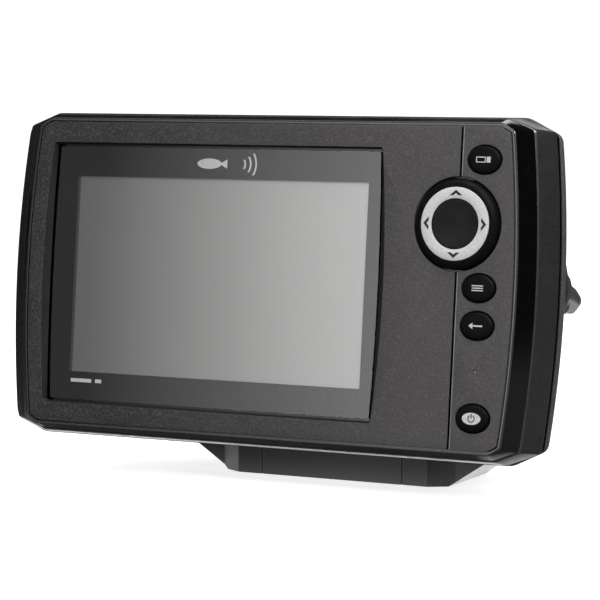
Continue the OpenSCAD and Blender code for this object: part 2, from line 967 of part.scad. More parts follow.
module knob_washers() {
    color("silver") at_axis() mirrored() difference() {
        cross_rod(8, arm_outer_x + washer_gap, arm_outer_x + washer_gap + knob_washer_t);
        cross_rod(stud_r + 0.4, arm_outer_x, arm_outer_x + 2);
    }
}

// Front view of the bracket's right half: base, flank and arm
function bracket_half() = [
    [0, 0], [base_flat_half_w, 0], [corner_half_w, 1.4], [arm_outer_x, flank_top_z],
    [arm_outer_x, pivot_h + eye_r + 1], [arm_inner_x, pivot_h + eye_r + 1],
    [arm_inner_x, flank_top_z + 3], [corner_half_w + 4, base_t], [0, base_t]];

// Side view of the bracket: a base with an arm that leans forward to the eye
module bracket_side() {
    rotate([90, 0, 90])
        translate([0, 0, -arm_outer_x - 5])
            linear_extrude(2 * arm_outer_x + 10) {
                hull() {
                    translate([-arm_front_y, flank_top_z - 4])
                        square([arm_front_y + arm_back_y, 4]);
                    translate([-pivot_ahead, pivot_h])
                        circle(eye_r);
                }
                translate([-base_depth / 2, 0])
                    square([base_depth, flank_top_z - 4]);
            }
}

// Top view of the base: cut corners in front and behind, and flanks that draw in behind
module bracket_plan() {
    half = base_depth / 2;
    side = [[front_half_w, -half], [corner_half_w, corner_cut - half], [arm_outer_x + 1, corner_cut - half],
        [arm_outer_x + 1, arm_back_y], [corner_half_w, half - corner_cut], [front_half_w, half]];
    linear_extrude(flank_top_z)
        polygon(concat(side, [for (i = [5 : -1 : 0]) [-side[i][0], side[i][1]]]));
}

module gimbal_bracket() {
    color("darkslategray") difference() {
        intersection() {
            rotate([90, 0, 0])
                translate([0, 0, -60])
                    linear_extrude(120)
                        polygon(concat(bracket_half(),
                            [for (i = [8 : -1 : 0]) [-bracket_half()[i][0], bracket_half()[i][1]]]));
            bracket_side();
            union() {
                bracket_plan();
                block([-arm_outer_x - 1, -60, flank_top_z - 4], [arm_outer_x + 1, 60, 100]);
            }
        }
        at_axis()
            cross_rod(stud_r + 0.35, -arm_outer_x - 1, arm_outer_x + 1);
        for (x = [-hole_across / 2, hole_across / 2])
            for (y = [-hole_along / 2, hole_along / 2])
                translate([x, y, -1]) {
                    cylinder(r = hole_r, h = base_t + 2);
                    translate([0, 0, 5])
                        cylinder(r = 4.6, h = base_t);
                }
        panel_grooves();
        block([-14, -12, 4], [14, 12, base_t + 1]);
    }
}

// Fine upright grooves that frame the middle of the base's front and back
module panel_grooves() {
    for (side = [-1, 1])
        for (x = [-26.5, 26.5])
            translate([x - 0.3, side * base_depth / 2 - 0.6, -1])
                cube([0.6, 1.2, base_t + 2]);
}

// ---- knobs, drawn for the right side ----

module knob() {
    difference() {
        union() {
            cross_rod(10.5, knob_inner_x, knob_inner_x + 4);
            hull() {
                cross_rod(9, knob_inner_x + 3, knob_inner_x + 4);
                cross_rod(6.5, knob_end_x - 3, knob_end_x - 1.5);
            }
            for (a = [0 : 120 : 240])
                rotate([a - lobe_turn, 0, 0])
                    knob_lobe();
        }
        cross_rod(stud_r + slip, knob_inner_x - 1, stud_end_x + 0.5);
    }
}

// One lobe, reaching back from the axis: tapered, round at its end, with a ridge along its outer face
module knob_lobe() {
    reach = lobe_reach - lobe_tip_r;
    hull() {
        cross_rod(lobe_r, knob_inner_x + 2, knob_end_x - 3.5, $fn = 32);
        cross_rod(lobe_edge_r, knob_inner_x + 2, knob_end_x, $fn = 16);
        translate([0, reach, 0])
            cross_rod(lobe_tip_r, knob_inner_x + 2, knob_end_x - 3.5, $fn = 32);
        translate([0, reach, 0])
            cross_rod(lobe_edge_r, knob_inner_x + 2, knob_end_x - 1, $fn = 16);
    }
}

module stud() {
    cross_rod(stud_r, stud_tip_x, stud_end_x);
}

module right_knob() {
    color("dimgray") at_axis() knob();
}

module right_stud() {
    color("silver") at_axis() stud();
}

module left_knob() {
    color("dimgray") at_axis() mirror([1, 0, 0]) knob();
}

module left_stud() {
    color("silver") at_axis() mirror([1, 0, 0]) stud();
}

front_bezel();
face_plate();
display_lens();
lens_print();
lens_mask();
lens_gasket();
lcd_panel();
backlight();
display_tray();
tray_screws();
display_ribbon();
keypad_membrane();
keypad_board();
status_light();
view_key();
view_mark();
menu_key();
menu_mark();
exit_key();
exit_mark();
power_key();
power_badge();
power_mark();
pad_rocker();
pad_cap();
pad_ring();
pad_marks();
main_board();
board_screws();
shield_cans();
board_parts();
beeper();
card_socket();
card_door();
card_door_pin();
connector_board();
board_cable();
rear_housing();
case_seal();
case_screws();
power_socket();
sonar_socket();
accessory_socket();
socket_pins();
pressure_vent();
pivot_inserts();
gimbal_bracket();
friction_washers();
knob_washers();
left_knob();
left_stud();
right_knob();
right_stud();
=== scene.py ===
"""Looks of the fish finder: meshes, materials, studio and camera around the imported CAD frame.

Shapes on the head are drawn in millimetres in the head's own frame: X right, Y back from the face and
Z up from the face's centre. The HEAD matrix, which comes from the frame's joints, then places them.
"""

import json
from math import copysign, cos, hypot, pi, radians, sin, sqrt

import bmesh
import bpy
from mathutils import Matrix, Vector


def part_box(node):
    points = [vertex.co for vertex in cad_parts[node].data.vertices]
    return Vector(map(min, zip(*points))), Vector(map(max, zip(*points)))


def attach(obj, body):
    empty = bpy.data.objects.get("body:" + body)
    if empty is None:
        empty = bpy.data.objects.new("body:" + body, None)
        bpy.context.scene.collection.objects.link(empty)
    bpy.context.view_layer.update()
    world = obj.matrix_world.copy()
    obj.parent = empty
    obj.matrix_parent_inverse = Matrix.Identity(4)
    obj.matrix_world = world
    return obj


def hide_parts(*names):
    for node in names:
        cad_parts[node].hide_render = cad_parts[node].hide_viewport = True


MM = 0.001
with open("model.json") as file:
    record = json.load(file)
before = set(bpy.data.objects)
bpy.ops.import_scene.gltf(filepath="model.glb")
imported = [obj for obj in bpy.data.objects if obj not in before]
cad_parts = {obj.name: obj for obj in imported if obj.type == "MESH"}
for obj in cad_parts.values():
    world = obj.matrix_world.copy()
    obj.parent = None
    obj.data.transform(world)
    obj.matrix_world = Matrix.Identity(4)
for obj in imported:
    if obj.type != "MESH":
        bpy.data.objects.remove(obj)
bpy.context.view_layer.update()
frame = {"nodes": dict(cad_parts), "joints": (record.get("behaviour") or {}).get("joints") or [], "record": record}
nodes = frame["nodes"]
record = frame["record"]


def joint(name):
    return next(j for j in frame["joints"] if j["name"] == name)


# ---- places ----

PIVOT_DEPTH = 42  # tilt axis behind the face
BACK = Vector(joint("view_press")["axis"]).normalized()
UP = Vector(joint("pad_rock_left_right")["axis"]).normalized()
RIGHT = Vector((1, 0, 0))
PIVOT = Vector(joint("head_tilt")["pos_m"])
FACE = PIVOT - BACK * PIVOT_DEPTH * MM


def placed(right, back, up, origin):
    m = Matrix.Identity(4)
    for column, axis in enumerate((right, back, up)):
        for row in range(3):
            m[row][column] = axis[row] * MM
    m.translation = origin
    return m


HEAD = placed(RIGHT, BACK, UP, FACE)
COUNTERBORE = placed(RIGHT, -BACK, UP, FACE + BACK * 24 * MM)  # depth runs forward from the flat back

# Case outlines: half width at mid height, half width at the corner, corner height,
# half width where the corner cut meets the top, half height, extra height below
FACE_RING = (87.6, 84.6, 48.2, 81.2, 50.0, 0)
RIDGE_RING = (93.5, 90.5, 49.5, 81.7, 53.2, 0)
JOINT_RING = (98.7, 95.7, 49.2, 84.5, 53.5, 0.6)
LIP_RING = (100.2, 97.2, 48.0, 86.0, 53.8, 0.6)
BACK_RING = (93.0, 90.0, 44.0, 82.0, 49.5, 0)
SEAM = 0.35
RIM = 0.75  # width of the front case's flat edge around the face plate
RIDGE = 0.45  # width of the small step between the two bands
GROOVE = 0.8  # depth of the groove between the front case and the rear shell
RIM_Y = 0.35  # depth of the front case's edge
RIDGE_Y = 5.5
JOINT_Y = 10.4
LIP_Y = 11.9
WIDE_Y = 24
DEEP_Y = 48
PLATE_T = 1.78
FLOOR_BACK_Y = 5.6
LENS_AT = (-19.1, -0.25)
LENS_SIZE = (118.2, 84)
LENS_BOW = 1.0  # extra half width at mid height
LENS_SLOT = 0.8
BEVEL = 1.6
BEVEL_SIZE = (1.4, 1.1)  # how much wider and taller the bevel is at the front
BEVEL_BOW = 1.3
LENS_FLOOR_Y = 3.65
SCREEN_AT = (-18, -0.5)
SCREEN_SIZE = (113.5, 71.5)
GROOVE_X = 68.5
CASE_SCREWS = [(x, z) for x in (-87.3, 87.3) for z in (-32, 32)] + [(0, -46.3), (0, 46.3)]
KEY_X = 76.3
KEYS = {"view": 39.7, "menu": 0.2, "exit": -11.4, "power": -39.9}
KEY_SIZE = (10.9, 8.4)
KEY_GAP = 0.4
KEY_TOP_Y = -1.02
KEY_DROP = 0.8  # from the middle of a key's domed top to its edge
KEY_FLATNESS = 2.0
SIGN_T = 0.03  # thickness of the printed signs
KEY_BACK_Y = 6.5
KEY_FLANGE_Y = 5.78
LIGHT_Z = -25.6
DEEP_W = 119
DEEP_H = 84
WALL = 2.4
EDGE_WALL = 3.2  # between the case's outline and its hollow, near the joint
THROUGH = 12  # deeper than the front case
BOSS_R = 11
BOSS_X = 61
INSERT_R = 5
SOCKETS = {"power_socket": 7.5, "sonar_socket": 9, "accessory_socket": 6.5}
SOCKET_Z = -14
VENT_AT = (30, 20)
DOOR_AT = (-76, 34)
DOOR_PIN = (25.5, 39.1)
PAD_AT = (68.1, 19.7)
PAD_FLOOR_Y = 4.8
CROSS_Y = 3.2
PIN_R = 0.6
PAD_BACK_Y = 2.3
FOOT_END_Y = 6.8
FOOT_R = 9
PAD_R = 14.2
PAD_GAP = 0.45
PAD_TOP_Y = -1.85
RING_TOP_Y = PAD_TOP_Y - 0.04
POCKET_R = 5.6  # pocket in the pad's back, for its cross
POCKET_Y = 0.9
SKIRT_Y = 0.9  # where the pad's skirt starts to curve inwards
DISH = 0.75  # how deep the pad's middle is
RING_R = 11.4
RING_INNER_R = 7.9


# ---- mesh helpers ----

def inset(ring, d):
    return (ring[0] - d, ring[1] - d, ring[2] - 0.4 * d, ring[3] - 0.6 * d, ring[4] - d, ring[5])


def mixed(a, b, t):
    return tuple(p + (q - p) * t for p, q in zip(a, b))


def curve_point(a, corner, b, t):
    """A point of the curve that rounds a corner between a and b."""
    return mixed(mixed(a, corner, t), mixed(corner, b, t), t)


def rounded_corner(before, corner, after, reach, steps):
    def toward(p):
        length = hypot(p[0] - corner[0], p[1] - corner[1])
        return mixed(corner, p, min(reach / length, 0.45))
    return [curve_point(toward(before), corner, toward(after), i / steps) for i in range(steps + 1)]


def outline(ring, reach=1.6, side_steps=14, corner_steps=5):
    """A case outline as (x, z) points, anticlockwise seen from the front, with its corners rounded."""
    def upper_half(mid, corner_w, corner_h, cut_w, half_h):
        near = corner_h - 0.01 * corner_h

        def side_x(z):
            return mid - (mid - corner_w) * (z / corner_h) ** 2
        quarter = [(side_x(near * i / side_steps), near * i / side_steps) for i in range(side_steps)]
        quarter += rounded_corner((side_x(near * 0.9), near * 0.9), (corner_w, corner_h), (cut_w, half_h),
                                  reach, corner_steps)
        quarter += rounded_corner((corner_w, corner_h), (cut_w, half_h), (0, half_h), reach, corner_steps)
        quarter.append((cut_w * 0.5, half_h))
        quarter.append((0, half_h))
        return quarter + [(-x, z) for x, z in reversed(quarter[:-1])]
    below = ring[5]
    lower = upper_half(ring[0], ring[1], ring[2] + below, ring[3], ring[4] + below)
    return upper_half(*ring[:5]) + [(x, -z) for x, z in reversed(lower[1:-1])]


def oval(w, h, at=(0, 0), steps=64):
    return [(at[0] + w / 2 * cos(2 * pi * i / steps), at[1] + h / 2 * sin(2 * pi * i / steps))
            for i in range(steps)]


def rounded(w, h, r, at=(0, 0), steps=8):
    points = []
    for k, (sx, sz) in enumerate(((1, 1), (-1, 1), (-1, -1), (1, -1))):
        for i in range(steps + 1):
            a = pi / 2 * (k + i / steps)
            points.append((at[0] + sx * (w / 2 - r) + r * cos(a), at[1] + sz * (h / 2 - r) + r * sin(a)))
    return points


def bowed(w, h, r, bow, at=(0, 0), steps=8):
    """A rounded rectangle whose sides bow out at mid height."""
    ends = rounded(w, h, r)
    half = len(ends) // 2
    span = (h / 2 - r) / steps
    left = [(-w / 2, i * span) for i in range(steps - 1, -steps, -1)]
    right = [(w / 2, i * span) for i in range(1 - steps, steps)]
    points = ends[:half] + left + ends[half:] + right
    return [(at[0] + x + copysign(bow, x) * (1 - (2 * z / h) ** 2), at[1] + z) for x, z in points]


def rounded_path(path, reach, steps=4):
    """Rounds the inner corners of a path of equal-length tuples, whose last value is the depth."""
    out = [path[0]]
    for before, corner, after in zip(path, path[1:], path[2:]):
        def toward(p):
            length = max(hypot(p[0] - corner[0], p[-1] - corner[-1]), 1e-6)
            return mixed(corner, p, min(reach / length, 0.45))
        a, b = toward(before), toward(after)
        out += [curve_point(a, corner, b, i / steps) for i in range(steps + 1)]
    return out + [path[-1]]


def loft_mesh(loops, depths):
    """Closed solid through loops of (x, z) points at given depths, capped at both ends."""
    n = len(loops[0])
    verts = [(x, y, z) for loop, y in zip(loops, depths) for x, z in loop]
    faces = []
    for k in range(len(loops) - 1):
        for i in range(n):
            j = (i + 1) % n
            faces.append((k * n + i, k * n + j, (k + 1) * n + j, (k + 1) * n + i))
    faces.append(tuple(reversed(range(n))))
    faces.append(tuple(range((len(loops) - 1) * n, len(loops) * n)))
    return verts, faces


def case_loft(path, reach=1.6):
    """Closed solid through case outlines; each path entry is a ring with its depth as the last value."""
    return loft_mesh([outline(p[:6], reach) for p in path], [p[6] for p in path])


def rod(r, y0, y1, at, steps=48):
    return prism(oval(2 * r, 2 * r, at, steps), y0, y1)


def lathe_mesh(profile, steps=96):
    """Solid of revolution about the depth axis from (radius, depth) points; radius 0 closes an end."""
    verts, faces, rows = [], [], []
    for r, y in profile:
        if r < 1e-6:
            rows.append([len(verts)])
            verts.append((0, y, 0))
        else:
            rows.append(list(range(len(verts), len(verts) + steps)))
            verts += [(r * cos(2 * pi * i / steps), y, r * sin(2 * pi * i / steps)) for i in range(steps)]
    for a, b in zip(rows, rows[1:]):
        for i in range(steps):
            j = (i + 1) % steps
            if len(a) == 1 and len(b) > 1:
                faces.append((a[0], b[j], b[i]))
            elif len(b) == 1 and len(a) > 1:
                faces.append((a[i], a[j], b[0]))
            elif len(a) > 1:
                faces.append((a[i], a[j], b[j], b[i]))
    return verts, faces


def build(name, mesh, matrix, shift=(0, 0, 0)):
    """An object from (verts, faces) in millimetres, with its faces turned outwards."""
    verts, faces = mesh
    data = bpy.data.meshes.new(name)
    moved = [matrix @ Vector((x + shift[0], y + shift[1], z + shift[2])) for x, y, z in verts]
    data.from_pydata(moved, [], faces)
    bm = bmesh.new()
    bm.from_mesh(data)
    bmesh.ops.remove_doubles(bm, verts=bm.verts, dist=1e-7)
    bmesh.ops.recalc_face_normals(bm, faces=bm.faces)
    bm.to_mesh(data)
    bm.free()
    obj = bpy.data.objects.new(name, data)
    bpy.context.scene.collection.objects.link(obj)
    return obj


def applied(obj):
    """Puts the result of obj's modifiers into its own mesh."""
    depsgraph = bpy.context.evaluated_depsgraph_get()
    data = bpy.data.meshes.new_from_object(obj.evaluated_get(depsgraph))
    obj.modifiers.clear()
    obj.data = data
    return obj


def combine(obj, other, operation):
    """Adds or cuts a helper object, which is then removed."""
    m = obj.modifiers.new("combine", "BOOLEAN")
    m.operation = operation
    m.solver = "EXACT"
    m.object = other
    applied(obj)
    bpy.data.objects.remove(other)
    return obj


def cut(obj, mesh, matrix, shift=(0, 0, 0)):
    return combine(obj, build("cutter", mesh, matrix, shift), "DIFFERENCE")


def add(obj, mesh, matrix, shift=(0, 0, 0)):
    return combine(obj, build("adder", mesh, matrix, shift), "UNION")


def prism(loop, y0, y1):
    return loft_mesh([loop, loop], [y0, y1])


def box_mesh(low, high):
    (x0, y0, z0), (x1, y1, z1) = low, high
    return prism([(x0, z0), (x1, z0), (x1, z1), (x0, z1)], y0, y1)


def flared(make_loop, y0, lip_y, y1, lip):
    """A cutter with a rounded mouth at depth lip_y; make_loop(spare) gives its outline."""
    loops, depths = [make_loop(lip)], [y0]
    steps = 5
    for i in range(steps + 1):
        a = pi / 2 * i / steps
        loops.append(make_loop(lip * (1 - sin(a))))
        depths.append(lip_y + lip * (1 - cos(a)))
    return loft_mesh(loops + [make_loop(0)], depths + [y1])


def smooth(obj, angle=30):
    obj.data.shade_smooth()
    obj.data.set_sharp_from_angle(angle=radians(angle))


def soften(obj, width, angle=32, segments=3):
    """Rounds the sharp edges and keeps flat faces flat."""
    m = obj.modifiers.new("edges", "BEVEL")
    m.width = width * MM
    m.segments = segments
    m.limit_method = "ANGLE"
    m.angle_limit = radians(angle)
    m.use_clamp_overlap = True
    m.harden_normals = False
    n = obj.modifiers.new("normals", "WEIGHTED_NORMAL")
    n.keep_sharp = True


def finish_piece(obj, body, material, slot, *replaced):
    obj.data.materials.clear()
    obj.data.materials.append(material)
    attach(obj, body)
    if replaced:
        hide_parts(*replaced)
    return obj


# ---- materials ----

class Shader:
    """Small wrapper that adds and links nodes of one material."""

    def __init__(self, name):
        self.material = bpy.data.materials.new(name)
        self.material.use_nodes = True
        self.tree = self.material.node_tree
        self.tree.nodes.clear()
        self.out = self.tree.nodes.new("ShaderNodeOutputMaterial")
        self.coords = self.tree.nodes.new("ShaderNodeTexCoord").outputs["Object"]

    def node(self, kind, **inputs):
        n = self.tree.nodes.new(kind)
        for key, value in inputs.items():
            self.put(n, key.replace("_", " "), value)
        return n

    def put(self, n, key, value):
        target = n.inputs[int(key)] if key.isdigit() else n.inputs[key]
        if isinstance(value, bpy.types.NodeSocket):
            self.tree.links.new(value, target)
        else:
            target.default_value = value

    def noise(self, size_mm, detail=2.0, rough=0.5, stretch=None):
        vector = self.coords
        if stretch:
            m = self.tree.nodes.new("ShaderNodeMapping")
            self.put(m, "Vector", vector)
            m.inputs["Scale"].default_value = stretch
            vector = m.outputs[0]
        n = self.node("ShaderNodeTexNoise", Vector=vector, Scale=1000 / size_mm, Detail=detail,
                      Roughness=rough)
        return n.outputs["Fac"]

    def cells(self, size_mm):
        n = self.node("ShaderNodeTexVoronoi", Vector=self.coords, Scale=1000 / size_mm)
        return n.outputs["Distance"]

    def spread(self, value, low, high, at=(0.35, 0.65)):
        """Maps a 0 to 1 value onto the range low to high."""
        n = self.tree.nodes.new("ShaderNodeMapRange")
        settings = {"Value": value, "From Min": at[0], "From Max": at[1], "To Min": low, "To Max": high}
        for key, v in settings.items():
            self.put(n, key, v)
        return n.outputs[0]

    def mix(self, fac, a, b):
        n = self.tree.nodes.new("ShaderNodeMix")
        n.data_type = "RGBA"
        for key, v in ((0, fac), (6, a), (7, b)):
            self.put(n, str(key), v)
        return n.outputs[2]

    def math(self, operation, a, b=0.0):
        n = self.tree.nodes.new("ShaderNodeMath")
        n.operation = operation
        self.put(n, "0", a)
        self.put(n, "1", b)
        return n.outputs[0]

    def bump(self, height, depth_mm):
        n = self.node("ShaderNodeBump", Height=height, Strength=1.0, Distance=depth_mm * MM)
        return n.outputs[0]

    def edge_mask(self, radius_mm):
        """1 at convex and concave edges, 0 on flat faces."""
        soft = self.node("ShaderNodeBevel", Radius=radius_mm * MM)
        soft.samples = 4
        geometry = self.tree.nodes.new("ShaderNodeNewGeometry")
        dot = self.tree.nodes.new("ShaderNodeVectorMath")
        dot.operation = "DOT_PRODUCT"
        self.put(dot, "0", soft.outputs[0])
        self.put(dot, "1", geometry.outputs["Normal"])
        return self.spread(self.math("SUBTRACT", 1.0, dot.outputs["Value"]), 0.0, 1.0, (0.02, 0.35))

    def surface(self, **inputs):
        n = self.node("ShaderNodeBsdfPrincipled")
        for key, value in inputs.items():
            self.put(n, key.replace("_", " "), value)
        self.tree.links.new(n.outputs[0], self.out.inputs[0])
        return self.material


def grey(v, tint=0.0):
    return (v, v * (1 - tint * 0.5), v * (1 - tint), 1)


def times(color, factor):
    return tuple(min(c * factor, 1) for c in color[:3]) + (1,)


def textured_plastic(name, color, rough, grain_mm, grain_depth, mottle=0.12, wear_and_highlight=0.5, specular=0.5,
                     fleck=0.3, painted_light=None, front_only=False):
    """Moulded plastic with a spark-eroded grain, faint mottling, paler edges that are partly wear and partly a
    painted highlight, and optional painted light that lightens one side.

    The painted light argument holds two sideways places in metres, between which the tone is painted lighter,
    and how many times lighter it becomes; front_only keeps that painted light to surfaces that face forward.
    """
    s = Shader(name)
    grain = s.noise(grain_mm, 3.0, 0.65)
    pits = s.cells(grain_mm * 1.9)
    height = s.math("ADD", grain, s.math("MULTIPLY", pits, 0.6))
    darker, lighter = times(color, 1 - mottle), times(color, 1 + mottle * 2)
    tone = s.mix(s.spread(s.noise(18, 4.0, 0.6), 0, 1), darker, lighter)
    # painted light: the tone is painted lighter between two sideways places, standing in for light from one side
    if painted_light:
        across = s.node("ShaderNodeSeparateXYZ", Vector=s.coords).outputs["X"]
        share = s.spread(across, 0, 1, painted_light[:2])
        if front_only:
            normal = s.tree.nodes.new("ShaderNodeNewGeometry").outputs["Normal"]
            forward = s.node("ShaderNodeSeparateXYZ", Vector=normal).outputs["Y"]
            share = s.math("MULTIPLY", share, s.spread(forward, 1, 0, (-0.97, -0.9)))
        tone = s.mix(share, tone, times(color, painted_light[2]))
    speck = s.mix(s.spread(grain, 0, fleck, (0.5, 0.75)), tone, times(color, 5))
    # paler edges: partly wear, partly a painted highlight along the edges
    worn_and_highlit = s.mix(s.math("MULTIPLY", s.edge_mask(0.5), 0.25 * wear_and_highlight), speck, grey(0.4))
    return s.surface(Base_Color=worn_and_highlit, Roughness=s.spread(s.noise(3.0), rough - 0.03, rough + 0.04),
                     Normal=s.bump(height, grain_depth), IOR=1.5, Specular_IOR_Level=specular)


def gloss_plastic(name, color, rough=0.06, dust_share=0.1, ior=1.49):
    """Polished plastic with faint hazing, fine scratches and specks of dust."""
    s = Shader(name)
    haze = s.spread(s.noise(14, 4.0, 0.6), rough, rough + 0.05)
    scratch = s.spread(s.noise(0.5, 1.0, 0.5, (1, 1, 0.02)), 0.0, 0.06, (0.62, 0.75))
    dust = s.spread(s.noise(0.35, 0.0), 0.0, 1.0, (0.78, 0.85))
    base = s.mix(s.math("MULTIPLY", dust, dust_share), color, grey(0.3))
    ripple = s.bump(s.noise(9, 1.0), 0.006)
    return s.surface(Base_Color=base, Roughness=s.math("ADD", haze, scratch), Normal=ripple, IOR=ior,
                     Coat_Weight=0.1, Coat_Roughness=0.03)


def rubber(name, color, rough=0.5, grain_mm=0.25, depth=0.02, sheen=0.08, specular=0.5):
    """Moulded rubber: faint bloom, a painted sheen that lightens its edges, and a fine grain."""
    s = Shader(name)
    bloom = s.mix(s.spread(s.noise(6, 3.0), 0, 0.5), color, times(color, 1.7))
    # painted sheen: the edges are lightened in the base colour by the sheen amount
    edge = s.mix(s.math("MULTIPLY", s.edge_mask(0.6), sheen), bloom, grey(0.3))
    return s.surface(Base_Color=edge, Roughness=s.spread(s.noise(2.0), rough - 0.06, rough + 0.08),
                     Normal=s.bump(s.noise(grain_mm, 2.0, 0.6), depth), IOR=1.45,
                     Specular_IOR_Level=specular, Sheen_Weight=sheen, Sheen_Roughness=0.5)


def metal(name, color, rough=0.3, brushed=(1, 1, 0.03)):
    s = Shader(name)
    grain = s.noise(0.4, 2.0, 0.6, brushed)
    tone = s.mix(s.spread(s.noise(5, 3.0), 0, 1), times(color, 0.86), color)
    return s.surface(Base_Color=tone, Metallic=1.0, Roughness=s.spread(grain, rough - 0.08, rough + 0.12),
                     Normal=s.bump(grain, 0.004))


def printed(name, color, rough=0.5, specular=0.5):
    """Screen-printed or inlaid marking, slightly uneven."""
    s = Shader(name)
    uneven = s.mix(s.spread(s.noise(0.6, 3.0), 0, 1), color, times(color, 0.86))
    return s.surface(Base_Color=uneven, Roughness=s.spread(s.noise(1.5), rough - 0.05, rough + 0.08),
                     Specular_IOR_Level=specular, Normal=s.bump(s.noise(0.15, 2.0), 0.003))


def board(name, color):
    """Circuit board: solder mask over a faint pattern of tracks."""
    s = Shader(name)
    bricks = s.node("ShaderNodeTexBrick", Vector=s.coords, Scale=260.0, Mortar_Size=0.035)
    tracks = s.mix(s.spread(bricks.outputs["Fac"], 0, 1, (0, 1)), color, times(color, 1.8))
    tone = s.mix(s.spread(s.noise(8, 3.0), 0, 0.4), tracks, grey(0.02))
    return s.surface(Base_Color=tone, Roughness=0.32, Normal=s.bump(bricks.outputs["Fac"], 0.02))


def lens_glass(name):
    """Clear hard-coated window: mirror reflections over what lies behind, with faint smears."""
    s = Shader(name)
    fresnel = s.node("ShaderNodeFresnel", IOR=1.8)
    inner_side = s.tree.nodes.new("ShaderNodeNewGeometry").outputs["Backfacing"]
    share = s.math("MULTIPLY", fresnel.outputs[0], s.math("SUBTRACT", 1.0, inner_side))
    smear = s.spread(s.noise(22, 4.0, 0.7), 0.012, 0.035)
    gloss = s.node("ShaderNodeBsdfGlossy", Color=(1, 1, 1, 1), Roughness=smear)
    clear = s.node("ShaderNodeBsdfTransparent", Color=(0.985, 0.985, 0.985, 1))
    mixer = s.tree.nodes.new("ShaderNodeMixShader")
    s.put(mixer, "0", share)
    s.tree.links.new(clear.outputs[0], mixer.inputs[1])
    s.tree.links.new(gloss.outputs[0], mixer.inputs[2])
    s.tree.links.new(mixer.outputs[0], s.out.inputs[0])
    return s.material


def screen_glass(name, low_x, high_x, border_x):
    """Switched-off display: grey polariser with painted light, its tone brightening smoothly from left to right.
    """
    s = Shader(name)
    split = s.node("ShaderNodeSeparateXYZ", Vector=s.coords)
    across = s.spread(split.outputs["X"], 0.0, 1.0, (low_x, high_x))
    # painted light: the panel's tone ramps from dark at the left to bright at the right, standing in for light
    # across the screen
    painted_light_ramp = s.tree.nodes.new("ShaderNodeValToRGB")
    painted_light_ramp.color_ramp.interpolation = "B_SPLINE"
    painted_light_stops = ((0.0, 0.15), (0.25, 0.24), (0.55, 0.40), (0.78, 0.52), (1.0, 0.58))
    painted_light_ramp.color_ramp.elements[1].position = painted_light_stops[1][0]
    for place, value in painted_light_stops[2:]:
        painted_light_ramp.color_ramp.elements.new(place)
    for element, (place, value) in zip(painted_light_ramp.color_ramp.elements, painted_light_stops):
        element.position = place
        element.color = grey(value, 0.02)
    s.put(painted_light_ramp, "0", across)
    rows = s.node("ShaderNodeTexWave", Vector=s.coords, Scale=2400.0)
    tint = s.mix(s.math("MULTIPLY", rows.outputs["Fac"], 0.03), painted_light_ramp.outputs[0], grey(0.25))
    border = s.spread(split.outputs["X"], 1.0, 0.0, (border_x - 0.1 * MM, border_x + 0.1 * MM))
    panel = s.mix(border, tint, grey(0.05))
    return s.surface(Base_Color=panel, Roughness=0.3, IOR=1.4, Specular_IOR_Level=0.25)


def light_pipe(name):
    s = Shader(name)
    core = s.mix(s.spread(s.noise(0.4), 0, 1), (0.10, 0.03, 0.03, 1), (0.16, 0.06, 0.05, 1))
    return s.surface(Base_Color=core, Roughness=0.2, IOR=1.5, Coat_Weight=0.4)


